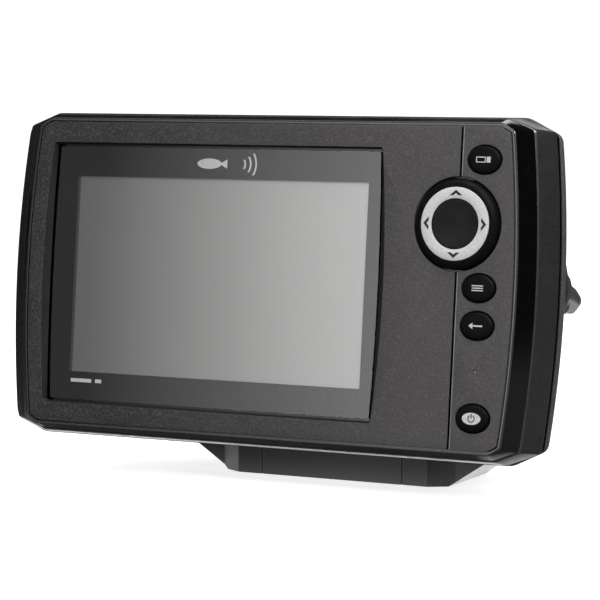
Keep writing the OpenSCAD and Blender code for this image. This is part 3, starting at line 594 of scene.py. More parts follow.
# painted light: the face plate is painted up to 2.4 times lighter towards its right, the bracket's front up to 3
# times lighter
FACE_PAINTED_LIGHT = (-0.06, 0.06, 2.4)
BRACKET_PAINTED_LIGHT = (-0.045, 0.01, 3)
MATERIALS = {
    "bezel_gloss": gloss_plastic("gloss_black", grey(0.002)),
    "bezel_satin": textured_plastic("satin_black", grey(0.022), 0.3, 0.35, 0.004, 0.08, 0.1, 0.4),
    # painted highlight: a paler gloss for the case's rim and ridge step, standing in for the light lines along
    # them
    "bezel_rim_highlight": gloss_plastic("rim_painted_highlight", grey(0.035), 0.25, 0.1, 1.9),
    "face_grey": textured_plastic("face_texture", (0.040, 0.038, 0.038, 1), 0.5, 0.6, 0.09, 0.12, 0.3, 0.2,
                                  0.65, FACE_PAINTED_LIGHT),
    # painted shade: a darker copy of the face texture for the lens opening's bevel, standing in for shade in the
    # recess
    "bevel_painted_shade": textured_plastic("bevel_painted_shade", grey(0.014), 0.42, 0.42, 0.01, 0.08, 0.1, 0.3),
    "lens_glass": lens_glass("lens_clear"),
    "print_white": printed("white_print", grey(0.82)),
    "mask_black": printed("mask_print", grey(0.004), 0.6, 0.0),
    "seal_rubber": rubber("seal_black", grey(0.012)),
    "frame_metal": metal("pressed_metal", grey(0.62)),
    "tray_plastic": textured_plastic("tray_grey", grey(0.10), 0.55, 0.5, 0.02),
    "screw_steel": metal("screw_steel", grey(0.55), 0.28, (1, 1, 1)),
    "ribbon_film": printed("ribbon_amber", (0.42, 0.20, 0.05, 1), 0.35),
    "board_green": board("board_green", (0.012, 0.09, 0.035, 1)),
    "key_rubber": rubber("key_black", grey(0.005), 0.45, 0.18, 0.006, 0.0, 0.1),
    "pad_black": rubber("pad_middle", grey(0.017), 0.45, 0.18, 0.006, 0.0, 0.1),
    # painted highlight: a pale grey for the groove's right edge, standing in for light catching it
    "groove_highlight": textured_plastic("groove_highlight", grey(0.3), 0.4, 0.4, 0.01),
    "ring_white": printed("ring_white", grey(0.80, 0.02), 0.42, 0.2),
    "mark_white": printed("mark_white", grey(0.75), 0.5),
    "mark_black": printed("mark_black", grey(0.015), 0.5),
    "light_clear": light_pipe("light_pipe"),
    "parts_grey": textured_plastic("component_body", grey(0.03), 0.45, 0.4, 0.01),
    "shell_grey": textured_plastic("shell_texture", grey(0.050), 0.55, 0.55, 0.05),
    "socket_black": textured_plastic("socket_body", grey(0.015), 0.4, 0.4, 0.01),
    "pin_brass": metal("plated_brass", (0.78, 0.57, 0.25, 1), 0.22),
    # the bracket's front carries painted light
    "bracket_black": textured_plastic("bracket_nylon", grey(0.010), 0.34, 0.8, 0.012, 0.1, 0.6, 0.2,
                                      painted_light=BRACKET_PAINTED_LIGHT, front_only=True),
    "knob_rubber": rubber("knob_grip", grey(0.013), 0.45, 0.35, 0.02, 0.03, 0.3),
}
screen_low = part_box("lcd_panel")[0].x
screen_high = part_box("lcd_panel")[1].x
WINDOW_W = 107.6
screen_border = (SCREEN_AT[0] - WINDOW_W / 2 + 0.9) * MM  # a darker strip left of it
# the screen's left-to-right brightening is painted light
MATERIALS["screen"] = screen_glass("screen_off_painted_light", screen_low, screen_high, screen_border)


# ---- pieces ----

def head_box(node):
    """Middle of a node's box in the head's own frame."""
    low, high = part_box(node)
    return HEAD.inverted() @ ((Vector(low) + Vector(high)) / 2)


def at_depth(ring, y):
    return ring + (y,)


def pad_lug(side, y0, y1, upright=False):
    """A lug that carries one end of the pad's cross; upright for those that hold its upright pin."""
    low, high = (side * 3.6 - 0.6, -1.5), (side * 3.6 + 0.6, 1.5)
    if upright:
        low, high = low[::-1], high[::-1]
    x, z = PAD_AT
    return box_mesh((x + low[0], y0, z + low[1]), (x + high[0], y1, z + high[1]))


def pin_hole(upright=False):
    """The hole through a pair of lugs."""
    verts, faces = rod(PIN_R + 0.1, -4.6, 4.6, (0, 0), 24)
    turned = [(x, z, y) if upright else (y, x, z) for x, y, z in verts]
    return [(PAD_AT[0] + x, CROSS_Y + y, PAD_AT[1] + z) for x, y, z in turned], faces


def pad_feet():
    return [(PAD_AT[0] + FOOT_R * cos(pi / 2 * k), PAD_AT[1] + FOOT_R * sin(pi / 2 * k)) for k in range(4)]


def key_hole(z, spare=0):
    """Outline of a key's opening, wider by spare on every side."""
    gap = 2 * (KEY_GAP + spare)
    return oval(KEY_SIZE[0] + gap, KEY_SIZE[1] + gap, (KEY_X, z))


def front_openings(obj):
    """Holes for the lens, the screen, the keys, the light and the pad."""
    opening = bowed(LENS_SIZE[0] + 2 * LENS_SLOT, LENS_SIZE[1] + 2 * LENS_SLOT, 0.8, LENS_BOW, LENS_AT)
    cut(obj, prism(opening, 0, LENS_FLOOR_Y), HEAD)
    window = rounded(SCREEN_SIZE[0] + 0.6, SCREEN_SIZE[1] + 0.6, 1, SCREEN_AT)
    cut(obj, prism(window, 0, THROUGH), HEAD)
    for z in KEYS.values():
        cut(obj, prism(key_hole(z), 0, THROUGH), HEAD)
    cut(obj, prism(oval(1.5, 1.5, (KEY_X, LIGHT_Z), 24), 0, THROUGH), HEAD)
    cut(obj, rod(PAD_R + PAD_GAP, 0, PAD_FLOOR_Y, PAD_AT, 96), HEAD)
    for foot in pad_feet():
        cut(obj, rod(1.9, 0, THROUGH, foot), HEAD)


def front_case():
    """The front case: an outer skin lofted through the seam, the ridge and the joint, then hollowed."""
    seam = inset(FACE_RING, -SEAM)
    rim = inset(FACE_RING, -SEAM - RIM)
    cap = at_depth(inset(seam, 2), RIM_Y)
    path = [at_depth(seam, RIM_Y), at_depth(rim, RIM_Y), at_depth(inset(RIDGE_RING, RIDGE), RIDGE_Y - 0.1),
            at_depth(RIDGE_RING, RIDGE_Y + 0.05), at_depth(JOINT_RING, JOINT_Y),
            at_depth(inset(JOINT_RING, 1.2), JOINT_Y)]
    obj = build("front_case", case_loft([cap] + rounded_path(path, 0.5), 1.0), HEAD)
    cut(obj, prism(outline(seam, 0.8), -1, PLATE_T + 0.02), HEAD)
    front_openings(obj)
    inner = inset(JOINT_RING, EDGE_WALL)
    hollow = [at_depth(inset(RIDGE_RING, EDGE_WALL), FLOOR_BACK_Y), at_depth(inner, JOINT_Y - 1),
              at_depth(inner, JOINT_Y + 1)]
    cut(obj, case_loft(hollow), HEAD)
    for at in CASE_SCREWS:
        add(obj, rod(3, FLOOR_BACK_Y - 0.2, JOINT_Y - 0.05, at), HEAD)
        cut(obj, rod(1.35, 6.4, JOINT_Y + 1, at, 24), HEAD)
    for side in (-1, 1):
        add(obj, pad_lug(side, CROSS_Y - 1.3, PAD_FLOOR_Y + 0.2), HEAD)
    cut(obj, pin_hole(), HEAD)
    smooth(obj, 24)
    finish_piece(obj, "head", MATERIALS["bezel_gloss"], "bezel_gloss", "front_bezel")

    def band(c, n):
        outside = n.x * c.x > 0 or n.z * c.z > 0
        return RIDGE_Y - 0.2 < c.y < JOINT_Y and outside and (abs(c.x) > 88 or abs(c.z) > 52)
    paint(obj, MATERIALS["bezel_satin"], band)

    # painted highlight: the front-facing rim and ridge step get the paler gloss
    def flat_edge(c, n):
        return (c.y < 0.7 or RIDGE_Y - 0.2 < c.y < RIDGE_Y + 0.1) and n.y < -0.75
    paint(obj, MATERIALS["bezel_rim_highlight"], flat_edge)


def paint(obj, material, chosen):
    """Gives another material to the faces that chosen(centre, normal) picks in the head's frame."""
    obj.data.materials.append(material)
    to_head = HEAD.inverted()
    turn = to_head.to_3x3().normalized()
    for polygon in obj.data.polygons:
        if chosen(to_head @ polygon.center, turn @ polygon.normal):
            polygon.material_index = len(obj.data.materials) - 1


def face_panel():
    """The grey plate: bevelled lens opening, groove and rounded key openings."""
    rim = inset(FACE_RING, 0.12)
    path = [at_depth(inset(FACE_RING, 3), 0), at_depth(rim, 0), at_depth(rim, PLATE_T)]
    obj = build("face_panel", case_loft(rounded_path(path, 0.28), 0.8), HEAD)
    w, h = LENS_SIZE[0] + 2 * LENS_SLOT, LENS_SIZE[1] + 2 * LENS_SLOT

    def opening(spare):
        """The lens opening; spare runs from 0 at the lens to 1 at the front."""
        return bowed(w + BEVEL_SIZE[0] * spare, h + BEVEL_SIZE[1] * spare, 0.6 + 0.2 * spare,
                     LENS_BOW + BEVEL_BOW * spare, LENS_AT)
    edge = 0.12
    loops = [opening(1 + edge), opening(1 + edge), opening(1), opening(0), opening(0)]
    cut(obj, loft_mesh(loops, [-1, 0, edge * 0.6, BEVEL, 3]), HEAD)

    def groove(spare):
        """The groove beside the keys; spare widens it to the right."""
        low, high = GROOVE_X - 0.35, GROOVE_X + 0.3 + spare
        return [(low, -60), (high, -60), (high, 60), (low, 60)]
    cut(obj, loft_mesh([groove(0.4), groove(0.4), groove(0), groove(0)], [-1, 0, 0.2, 0.6]), HEAD)
    for z in KEYS.values():
        cut(obj, flared(lambda s: key_hole(z, s), -1, 0, 3, 0.35), HEAD)
    cut(obj, flared(lambda s: oval(1.4 + 2 * s, 1.4 + 2 * s, (KEY_X, LIGHT_Z), 24), -1, 0, 3, 0.12), HEAD)
    r = 2 * (PAD_R + PAD_GAP)
    cut(obj, flared(lambda s: oval(r + 2 * s, r + 2 * s, PAD_AT, 96), -1, 0, 3, 0.4), HEAD)
    smooth(obj, 28)
    finish_piece(obj, "head", MATERIALS["face_grey"], "face_grey", "face_plate")

    # painted shade: the bevel around the lens opening gets the darker material
    def bevel(c, n):
        inside = abs(c.x - LENS_AT[0]) < w / 2 + 4 and abs(c.z - LENS_AT[1]) < h / 2 + 1.5
        return inside and n.y > -0.97 and c.y > 0.05
    paint(obj, MATERIALS["bevel_painted_shade"], bevel)

    def in_groove(c):
        return abs(c.x - GROOVE_X) < 0.8 and 0.05 < c.y < 0.7
    # painted shade: the groove's floor and left wall get the black print material
    paint(obj, MATERIALS["mask_black"], lambda c, n: in_groove(c) and (n.x > -0.3 or n.y > -0.5))
    # painted highlight: the groove's right edge gets the pale grey
    paint(obj, MATERIALS["groove_highlight"], lambda c, n: in_groove(c) and n.x < -0.3 and n.y < -0.5)


def key_top(x, z):
    """Depth of a key's domed top at a place measured from the key's centre."""
    rho = min((2 * x / KEY_SIZE[0]) ** 2 + (2 * z / KEY_SIZE[1]) ** 2, 1)
    return KEY_TOP_Y + KEY_DROP * (1 - sqrt(max(1 - rho ** KEY_FLATNESS, 0)))


def key_cap(name, z, node):
    steps = 12
    loops = [oval(KEY_SIZE[0] + 1.8, KEY_SIZE[1] + 1.2, (KEY_X, z)) for _ in range(2)]
    loops += [oval(KEY_SIZE[0], KEY_SIZE[1], (KEY_X, z)) for _ in range(2)]
    depths = [KEY_BACK_Y, KEY_FLANGE_Y, KEY_FLANGE_Y, KEY_TOP_Y + KEY_DROP]
    for i in range(1, steps):
        share = cos(pi / 2 * i / steps)
        loops.append(oval(KEY_SIZE[0] * share, KEY_SIZE[1] * share, (KEY_X, z)))
        depths.append(key_top(KEY_SIZE[0] / 2 * share, 0))
    obj = build(name, loft_mesh(loops, depths), HEAD)
    smooth(obj, 50)
    return finish_piece(obj, name.replace("_cap", "_button"), MATERIALS["key_rubber"], "key_rubber", node)


def shape_sheet(shapes, step=0.22):
    """Convex outlines as a flat sheet, cut into small cells so that it can follow a dome."""
    bm = bmesh.new()
    for points in shapes:
        face = bm.faces.new([bm.verts.new((x, 0, z)) for x, z in points])
        face.normal_update()
    low = [min(p[k] for s in shapes for p in s) for k in (0, 1)]
    high = [max(p[k] for s in shapes for p in s) for k in (0, 1)]
    for k, normal in ((0, (1, 0, 0)), (1, (0, 0, 1))):
        count = int((high[k] - low[k]) / step)
        for i in range(1, count + 1):
            place = low[k] + i * step
            co = (place, 0, 0) if k == 0 else (0, 0, place)
            geom = list(bm.verts) + list(bm.edges) + list(bm.faces)
            bmesh.ops.bisect_plane(bm, geom=geom, plane_co=co, plane_no=normal, dist=1e-5)
    return bm


def print_on(name, shapes, at, surface, thickness, body, slot, *replaced):
    """Printed shapes laid on a surface; surface(x, z) is its depth at a place measured from at."""
    bm = shape_sheet(shapes)
    bmesh.ops.recalc_face_normals(bm, faces=bm.faces)
    front = list(bm.faces)
    back = bmesh.ops.duplicate(bm, geom=list(bm.verts) + list(bm.edges) + front)
    twin = back["vert_map"]
    border = [e for e in bm.edges
              if len(e.link_faces) == 1 and e.verts[0] in twin and e.link_faces[0] in front]
    for e in border:
        a, b = e.verts
        bm.faces.new((a, b, twin[b], twin[a]))
    lower = {twin[v] for f in front for v in f.verts}
    for v in bm.verts:
        y = surface(v.co.x, v.co.z) - (0 if v in lower else thickness)
        v.co = HEAD @ Vector((v.co.x + at[0], y, v.co.z + at[1]))
    bmesh.ops.recalc_face_normals(bm, faces=bm.faces)
    data = bpy.data.meshes.new(name)
    bm.to_mesh(data)
    bm.free()
    obj = bpy.data.objects.new(name, data)
    bpy.context.scene.collection.objects.link(obj)
    smooth(obj, 40)
    return finish_piece(obj, body, MATERIALS[slot], slot, *replaced)


def arc(r, w, start, end, steps=14, at=(0, 0)):
    """A ring segment as short quads, between two angles in degrees."""
    quads = []
    for i in range(steps):
        a0 = radians(start + (end - start) * i / steps)
        a1 = radians(start + (end - start) * (i + 1) / steps)
        corners = ((r - w / 2, a0), (r + w / 2, a0), (r + w / 2, a1), (r - w / 2, a1))
        quads.append([(at[0] + q * cos(a), at[1] + q * sin(a)) for q, a in corners])
    return quads


def pane(low, high, w):
    """The four sides of an upright frame."""
    (x0, z0), (x1, z1) = low, high
    return [[(x0, z0), (x1, z0), (x1, z0 + w), (x0, z0 + w)],
            [(x0, z1 - w), (x1, z1 - w), (x1, z1), (x0, z1)],
            [(x0, z0 + w), (x0 + w, z0 + w), (x0 + w, z1 - w), (x0, z1 - w)],
            [(x1 - w, z0 + w), (x1, z0 + w), (x1, z1 - w), (x1 - w, z1 - w)]]


def view_sign():
    right_pane = [[(1.1, -0.9), (2.4, -0.9), (2.4, 0.9), (1.1, 0.9)]]
    return pane((-2.4, -0.9), (0.8, 0.9), 0.28) + right_pane


def menu_sign():
    return [[(-1.9, z), (1.9, z), (1.9, z + 0.35), (-1.9, z + 0.35)] for z in (-0.9, -0.175, 0.55)]


def exit_sign():
    head_of_arrow = [(-2.4, 0), (-1, -1), (-1, 1)]
    return [head_of_arrow, [(-1, -0.25), (2.2, -0.25), (2.2, 0.25), (-1, 0.25)]]


def power_sign():
    return arc(1.05, 0.32, 118, 422, 22) + [[(-0.17, 0.15), (0.17, 0.15), (0.17, 1.5), (-0.17, 1.5)]]


def keys():
    for name, z in KEYS.items():
        key_cap(name + "_cap", z, name + "_key")
    for name, sign in (("view", view_sign()), ("menu", menu_sign()), ("exit", exit_sign())):
        print_on(name + "_sign", sign, (KEY_X, KEYS[name]), key_top, SIGN_T, name + "_button", "mark_white",
                 name + "_mark")
    place = (KEY_X, KEYS["power"])
    disc = [oval(6.2, 3.7, (0, 0), 48)]
    print_on("power_disc", disc, place, key_top, SIGN_T, "power_button", "ring_white", "power_badge")

    def disc_top(x, z):
        return key_top(x, z) - SIGN_T
    print_on("power_sign", power_sign(), place, disc_top, 0.02, "power_button", "mark_black", "power_mark")


def pad_section():
    """The pad's cap as (radius, depth) points: pocket, curved skirt, seat of the ring and dished middle."""
    pocket = [(0, POCKET_Y), (POCKET_R, POCKET_Y), (POCKET_R, PAD_BACK_Y)]
    skirt = pocket + [(PAD_R - 0.2, PAD_BACK_Y), (PAD_R, PAD_BACK_Y - 0.2), (PAD_R, SKIRT_Y)]
    steps = 10
    curve_w = PAD_R - RING_R - 0.15
    curve_h = SKIRT_Y - PAD_TOP_Y - 0.1
    for i in range(steps + 1):
        a = pi / 2 * i / steps
        skirt.append((RING_R + 0.15 + curve_w * cos(a), SKIRT_Y - curve_h * sin(a)))
    dish_r = RING_INNER_R - 0.3
    skirt += [(RING_R + 0.02, PAD_TOP_Y + 0.12), (RING_R + 0.02, PAD_TOP_Y + 0.5),
              (RING_INNER_R - 0.02, PAD_TOP_Y + 0.5), (RING_INNER_R - 0.02, PAD_TOP_Y + 0.1),
              (dish_r, PAD_TOP_Y)]
    for i in range(1, steps + 1):
        share = 1 - i / steps
        skirt.append((dish_r * share, PAD_TOP_Y + DISH * (1 - share ** 2)))
    return skirt


def pad_body():
    """The pad's black cap with the lugs that hold it on its cross and the feet that press the board."""
    cap = build("pad_body", lathe_mesh(pad_section()), HEAD, (PAD_AT[0], 0, PAD_AT[1]))
    for side in (-1, 1):
        add(cap, pad_lug(side, 0.8, CROSS_Y + 1.1, True), HEAD)
    cut(cap, pin_hole(True), HEAD)
    for foot in pad_feet():
        add(cap, rod(1.2, PAD_BACK_Y - 0.05, FOOT_END_Y, foot, 24), HEAD)
    smooth(cap, 35)
    finish_piece(cap, "pad_top", MATERIALS["key_rubber"], "key_rubber", "pad_cap")

    def dish(c, n):
        return hypot(c.x - PAD_AT[0], c.z - PAD_AT[1]) < RING_INNER_R - 0.2 and n.y < -0.5
    paint(cap, MATERIALS["pad_black"], dish)


def pad_ring():
    """The pale ring let into the cap."""
    e = 0.14  # rounding of its edges
    y0, y1 = RING_TOP_Y, RING_TOP_Y + 0.5
    profile = [(RING_INNER_R, y1), (RING_INNER_R, y0 + e), (RING_INNER_R + 0.3 * e, y0 + 0.3 * e),
               (RING_INNER_R + e, y0), (RING_R - e, y0), (RING_R - 0.3 * e, y0 + 0.3 * e), (RING_R, y0 + e),
               (RING_R, y1), (RING_INNER_R, y1)]
    ring = build("pad_pale_ring", lathe_mesh(profile), HEAD, (PAD_AT[0], 0, PAD_AT[1]))
    smooth(ring, 50)
    finish_piece(ring, "pad_top", MATERIALS["ring_white"], "ring_white", "pad_ring")


def pad_arrows():
    """Four arrow heads printed on the ring."""
    middle = (RING_R + RING_INNER_R) / 2
    shapes = []
    for k in range(4):
        a = pi / 2 * k

        def turned(x, z):
            return (x * cos(a) - z * sin(a), x * sin(a) + z * cos(a))
        for side in (-1, 1):
            shapes.append([turned(middle + 0.9, 0), turned(middle - 0.85, 2.1 * side),
                           turned(middle - 0.85, 0.85 * side), turned(middle - 0.15, 0)])

    def ring_top(x, z):
        return RING_TOP_Y
    print_on("pad_arrows", shapes, PAD_AT, ring_top, 0.025, "pad_top", "mark_black", "pad_marks")


def sideways(profile, steps=64):
    """Solid of revolution about the width axis from (radius, place) points."""
    verts, faces = lathe_mesh([(0, profile[0][1])] + list(profile) + [(0, profile[-1][1])], steps)
    return [(y, x, z) for x, y, z in verts], faces


def rear_skin():
    """The rear shell as a solid: rounded lip, sloping shoulders and deep middle part."""
    back_y = WIDE_Y - 0.02
    groove = inset(JOINT_RING, GROOVE)
    front_y, step_y = JOINT_Y + 0.05, JOINT_Y + 0.7
    path = [at_depth(inset(JOINT_RING, 1.5), front_y), at_depth(groove, front_y), at_depth(groove, step_y),
            at_depth(mixed(JOINT_RING, LIP_RING, 0.4), step_y), at_depth(LIP_RING, LIP_Y + 0.1),
            at_depth(BACK_RING, back_y), at_depth(inset(BACK_RING, 6), back_y)]
    obj = build("rear_shell", case_loft(rounded_path(path, 0.8, 5), 1.8), HEAD)
    foot = 1.4
    deep = [(DEEP_W, DEEP_H, 7, WIDE_Y - 6), (DEEP_W + 2 * foot, DEEP_H + 2 * foot, 8, WIDE_Y - 1),
            (DEEP_W + 2 * foot, DEEP_H + 2 * foot, 8, back_y), (DEEP_W, DEEP_H, 7, back_y + foot),
            (DEEP_W, DEEP_H, 7, DEEP_Y), (DEEP_W - 8, DEEP_H - 8, 3, DEEP_Y)]
    loops = rounded_path(deep, 3.0, 6)
    add(obj, loft_mesh([rounded(w, h, r) for w, h, r, y in loops], [y for w, h, r, y in loops]), HEAD)
    return obj


def pivot_boss(obj, side):
    """The round boss on one side of the deep part, with the bore for its threaded insert."""
    ring = rounded_path([(8, 57), (BOSS_R, 57), (BOSS_R, BOSS_X), (INSERT_R, BOSS_X)], 0.6)
    boss = [(r, side * x) for r, x in ring]
    add(obj, sideways(boss), HEAD, (0, PIVOT_DEPTH, 0))
    add(obj, sideways([(8, side * 49.5), (8, side * 58)]), HEAD, (0, PIVOT_DEPTH, 0))
    cut(obj, sideways([(INSERT_R, side * 51.5), (INSERT_R, side * 62)]), HEAD, (0, PIVOT_DEPTH, 0))


def door_place(obj):
    """The card slot, the room around the door's pin and the two lugs that carry the pin."""
    door_x, door_z = DOOR_AT
    slot_low = (door_x - 5.9, WIDE_Y - WALL - 1, door_z - 2)
    slot_high = (door_x + 5.9, WIDE_Y + 1, door_z + 2)
    cut(obj, box_mesh(slot_low, slot_high), HEAD)
    pin_y, pin_z = DOOR_PIN
    cut(obj, sideways([(1.9, door_x - 8.8), (1.9, door_x + 8.8)], 32), HEAD, (0, pin_y, pin_z))
    for x in (door_x - 11.1, door_x + 8.9):
        lug = box_mesh((x, WIDE_Y - 1, pin_z - 1.5), (x + 2.2, pin_y + 1.5, pin_z + 1.5))
        add(obj, lug, HEAD)
        cut(obj, sideways([(0.72, x - 0.5), (0.72, x + 2.7)], 24), HEAD, (0, pin_y, pin_z))


def rear_shell():
    """The rear shell: skin, hollow, screw posts, pivot bosses and the openings in its back."""
    obj = rear_skin()
    cut(obj, prism(outline(inset(JOINT_RING, EDGE_WALL)), JOINT_Y - 1, 14.5), HEAD)
    cut(obj, prism(outline(inset(BACK_RING, WALL)), 13.5, WIDE_Y - WALL), HEAD)
    cut(obj, prism(rounded(DEEP_W - 6, DEEP_H - 6, 4), 13.6, DEEP_Y - WALL), HEAD)
    for at in CASE_SCREWS:
        add(obj, rod(3.6, JOINT_Y + 0.05, WIDE_Y - 0.6, at), HEAD)
        cut(obj, rod(1.5, JOINT_Y - 1, 17, at, 24), HEAD)
        cut(obj, flared(lambda s: oval(5.6 + 2 * s, 5.6 + 2 * s, at, 48), -1, 0, 8, 0.4), COUNTERBORE)
    for side in (-1, 1):
        pivot_boss(obj, side)
    for node, r in SOCKETS.items():
        at = (head_box(node)[0], SOCKET_Z)
        cut(obj, rod(r + 0.02, DEEP_Y - WALL - 1, DEEP_Y + 1, at, 64), HEAD)
    cut(obj, rod(3, DEEP_Y - WALL - 1, DEEP_Y + 1, VENT_AT), HEAD)
    door_place(obj)
    smooth(obj, 28)
    finish_piece(obj, "head", MATERIALS["shell_grey"], "shell_grey", "rear_housing")

    def in_step(c, n):
        return c.y < JOINT_Y + 0.72 and (abs(c.x) > 90 or abs(c.z) > 50)
    paint(obj, MATERIALS["bezel_gloss"], in_step)


def moulded(obj):
    """Rounds a knob all over, like a soft moulding."""
    even = obj.modifiers.new("even", "REMESH")
    even.mode = "VOXEL"
    even.voxel_size = 0.4 * MM
    even.use_smooth_shade = True
    soft = obj.modifiers.new("soft", "SMOOTH")
    soft.factor = 0.5
    soft.iterations = 10


def cad_looks(skip):
    """Carried-over CAD nodes: softened edges and their material."""
    slots = {s["node"]: s["material_slot"] for s in record["subparts"]}
    widths = {"gimbal_bracket": 0.7, "card_door": 0.3, "lcd_panel": 0.1, "backlight": 0.3,
              "display_lens": 0.12, "friction_washers": 0.3, "knob_washers": 0.1, "main_board": 0.1}
    for name, obj in nodes.items():
        if name in skip:
            continue
        obj.data.materials.clear()
        obj.data.materials.append(MATERIALS[slots[name]])
        flat = obj.modifiers.new("merge", "DECIMATE")
        flat.decimate_type = "DISSOLVE"
        flat.angle_limit = radians(0.6)
        if name in ("lens_mask", "lens_print", "lens_gasket", "status_light"):
            continue
        if name.endswith("_knob"):
            moulded(obj)
            continue
        soften(obj, widths.get(name, 0.15), 40)


front_case()
face_panel()
keys()
pad_body()
pad_ring()
pad_arrows()
rear_shell()
made = {"rear_housing", "front_bezel", "face_plate", "pad_cap", "pad_ring", "pad_marks", "view_mark",
        "menu_mark", "exit_mark", "power_badge", "power_mark", "view_key", "menu_key", "exit_key",
        "power_key"}
cad_looks(made)


# ---- studio ----

VIEW_AZIMUTH = 27.167
VIEW_ELEVATION = 5.2
CAMERA_FROM_FACE = Vector((0.3938, -0.7387, 0.0696))
LENS = 157.35
ROOM = 0.03
BACKDROP = 3.0
FLOOR_MIRRORED = (0.05, 0.2)  # the floor's tone in reflections, far left and elsewhere
MIRRORED_X = (-0.3, -0.1)
WHITE_REACH = (0.08, 0.4)  # distances over which the floor turns from shaded to white for the camera
FLOOR_GLOW = 2.2  # under and behind the case; the ranges below are where the glow starts or ends
GLOW_REACH = (0.18, 0.28)
GLOW_LEFT_X = (-0.135, -0.12)
GLOW_BACK_Y = (-0.045, -0.03)
GLOW_RIGHT_X = (0.065, 0.085)
GLOW_FRONT_Y = (-0.065, -0.055)


def studio_world():
    """White for the camera; for light and reflections a dark room with a bright strip behind."""
    world = bpy.data.worlds.new("studio")
    bpy.context.scene.world = world
    world.use_nodes = True
    tree = world.node_tree
    tree.nodes.clear()

    def node(kind, *links, **settings):
        n = tree.nodes.new(kind)
        for key, value in settings.items():
            setattr(n, key, value)
        for k, value in enumerate(links):
            if isinstance(value, bpy.types.NodeSocket):
                tree.links.new(value, n.inputs[k])
            elif value is not None:
                n.inputs[k].default_value = value
        return n
    direction = node("ShaderNodeTexCoord").outputs["Generated"]
    split = node("ShaderNodeSeparateXYZ", direction)
    behind = node("ShaderNodeMapRange", split.outputs["Y"], 0.4, 0.7, 0.0, 1.0)
    above = node("ShaderNodeMapRange", split.outputs["Z"], 0.5, 0.58, 0.0, 1.0)
    below = node("ShaderNodeMapRange", split.outputs["Z"], 0.70, 0.76, 1.0, 0.0)
    strip = node("ShaderNodeMath", above.outputs[0], below.outputs[0], operation="MULTIPLY")
    patch = node("ShaderNodeMath", strip.outputs[0], behind.outputs[0], operation="MULTIPLY")
    light = node("ShaderNodeMath", patch.outputs[0], BACKDROP, ROOM, operation="MULTIPLY_ADD")
    room = node("ShaderNodeBackground", (1, 1, 1, 1), light.outputs[0])
    seen = node("ShaderNodeBackground", (1, 1, 1, 1), 1.0)
    camera_ray = node("ShaderNodeLightPath").outputs["Is Camera Ray"]
    mix = node("ShaderNodeMixShader", camera_ray, room.outputs[0], seen.outputs[0])
    node("ShaderNodeOutputWorld", mix.outputs[0])


def area_light(name, place, target, size, power):
    data = bpy.data.lights.new(name, "AREA")
    data.shape = "RECTANGLE"
    data.size, data.size_y = size
    data.energy = power
    obj = bpy.data.objects.new(name, data)
    obj.location = place
    obj.rotation_euler = (Vector(target) - Vector(place)).to_track_quat("-Z", "Y").to_euler()
    bpy.context.scene.collection.objects.link(obj)


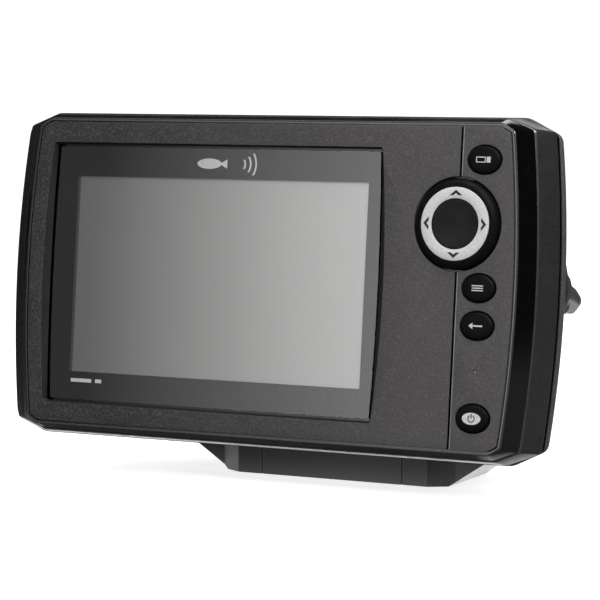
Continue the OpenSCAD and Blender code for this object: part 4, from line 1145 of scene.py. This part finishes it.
def floor():
    """White floor for the camera, with a faint shadow; in reflections dark, with a glow near the base."""
    data = bpy.data.meshes.new("floor")
    half = 6
    corners = [(-half, -half, 0), (half, -half, 0), (half, half, 0), (-half, half, 0)]
    data.from_pydata(corners, [], [(0, 1, 2, 3)])
    obj = bpy.data.objects.new("floor", data)
    obj.location.z = -0.0002
    bpy.context.scene.collection.objects.link(obj)
    sh = Shader("floor_white")
    uneven = sh.mix(sh.spread(sh.noise(40, 3.0), 0, 1), grey(0.8), grey(0.82))
    camera_ray = sh.tree.nodes.new("ShaderNodeLightPath").outputs["Is Camera Ray"]
    place = sh.node("ShaderNodeSeparateXYZ", Vector=sh.coords)
    rightward = sh.spread(place.outputs["X"], 0.0, 1.0, MIRRORED_X)
    mirrored = sh.mix(rightward, grey(FLOOR_MIRRORED[0]), grey(FLOOR_MIRRORED[1]))
    diffuse = sh.node("ShaderNodeBsdfDiffuse", Color=sh.mix(camera_ray, mirrored, uneven))
    length = sh.tree.nodes.new("ShaderNodeVectorMath")
    length.operation = "LENGTH"
    sh.put(length, "0", sh.coords)
    lift = sh.spread(length.outputs["Value"], 0.8, 1.0, WHITE_REACH)
    near = sh.math("MULTIPLY", sh.spread(length.outputs["Value"], 1.0, 0.0, GLOW_REACH),
                   sh.spread(place.outputs["X"], 0.0, 1.0, GLOW_LEFT_X))
    under_back = sh.spread(place.outputs["Y"], 0.0, FLOOR_GLOW, GLOW_BACK_Y)
    under_right = sh.math("MULTIPLY", sh.spread(place.outputs["X"], 0.0, FLOOR_GLOW, GLOW_RIGHT_X),
                          sh.spread(place.outputs["Y"], 0.0, 1.0, GLOW_FRONT_Y))
    bounce = sh.math("MULTIPLY", near, sh.math("MAXIMUM", under_back, under_right))
    unseen = sh.math("MULTIPLY", bounce, sh.math("SUBTRACT", 1.0, camera_ray))
    strength = sh.math("ADD", sh.math("MULTIPLY", lift, camera_ray), unseen)
    glow = sh.node("ShaderNodeEmission", Color=(1, 1, 1, 1), Strength=strength)
    total = sh.tree.nodes.new("ShaderNodeAddShader")
    sh.tree.links.new(diffuse.outputs[0], total.inputs[0])
    sh.tree.links.new(glow.outputs[0], total.inputs[1])
    sh.tree.links.new(total.outputs[0], sh.out.inputs[0])
    data.materials.append(sh.material)


def gradient_card():
    """A tall card in front and to the left that brightens towards the middle; the lens mirrors it."""
    distance = 1.4
    left, right = radians(-40), radians(-10)
    low, high = 0.0, 0.75
    verts, faces = [], []
    steps = 24
    for i in range(steps + 1):
        a = left + (right - left) * i / steps
        for z in (low, high):
            verts.append((distance * sin(a), -distance * cos(a) + FACE.y, z))
    for i in range(steps):
        faces.append((2 * i, 2 * i + 2, 2 * i + 3, 2 * i + 1))
    data = bpy.data.meshes.new("card")
    data.from_pydata(verts, [], faces)
    obj = bpy.data.objects.new("card", data)
    bpy.context.scene.collection.objects.link(obj)
    sh = Shader("card_glow")
    split = sh.node("ShaderNodeSeparateXYZ", Vector=sh.coords)
    x0, x1 = distance * sin(radians(-34)), distance * sin(radians(-23))
    bright = sh.spread(split.outputs["X"], 0.3, 2.1, (x0, x1))
    glow = sh.node("ShaderNodeEmission", Color=(1, 1, 1, 1), Strength=bright)
    sh.tree.links.new(glow.outputs[0], sh.out.inputs[0])
    data.materials.append(sh.material)
    obj.visible_camera = False


def camera():
    data = bpy.data.cameras.new("camera")
    data.lens = LENS
    data.sensor_width = 36
    data.clip_start = 0.05
    obj = bpy.data.objects.new("camera", data)
    obj.location = FACE + CAMERA_FROM_FACE
    az, el = radians(VIEW_AZIMUTH), radians(VIEW_ELEVATION)
    forward = Vector((-sin(az) * cos(el), cos(az) * cos(el), -sin(el)))
    obj.rotation_euler = forward.to_track_quat("-Z", "Y").to_euler()
    bpy.context.scene.collection.objects.link(obj)
    bpy.context.scene.camera = obj


studio_world()
floor()
gradient_card()
area_light("top", (0.1, -0.35, 1.5), (0, 0, 0.0), (1.0, 0.7), 12)
area_light("key", (0.5, -0.6, 0.65), (0, 0, 0.07), (0.3, 0.3), 5)
area_light("rear", (0.9, 0.9, 0.7), (0, 0, 0.07), (0.6, 0.4), 5)
camera()
bpy.context.scene.view_settings.view_transform = "Standard"

bpy.context.view_layer.update()
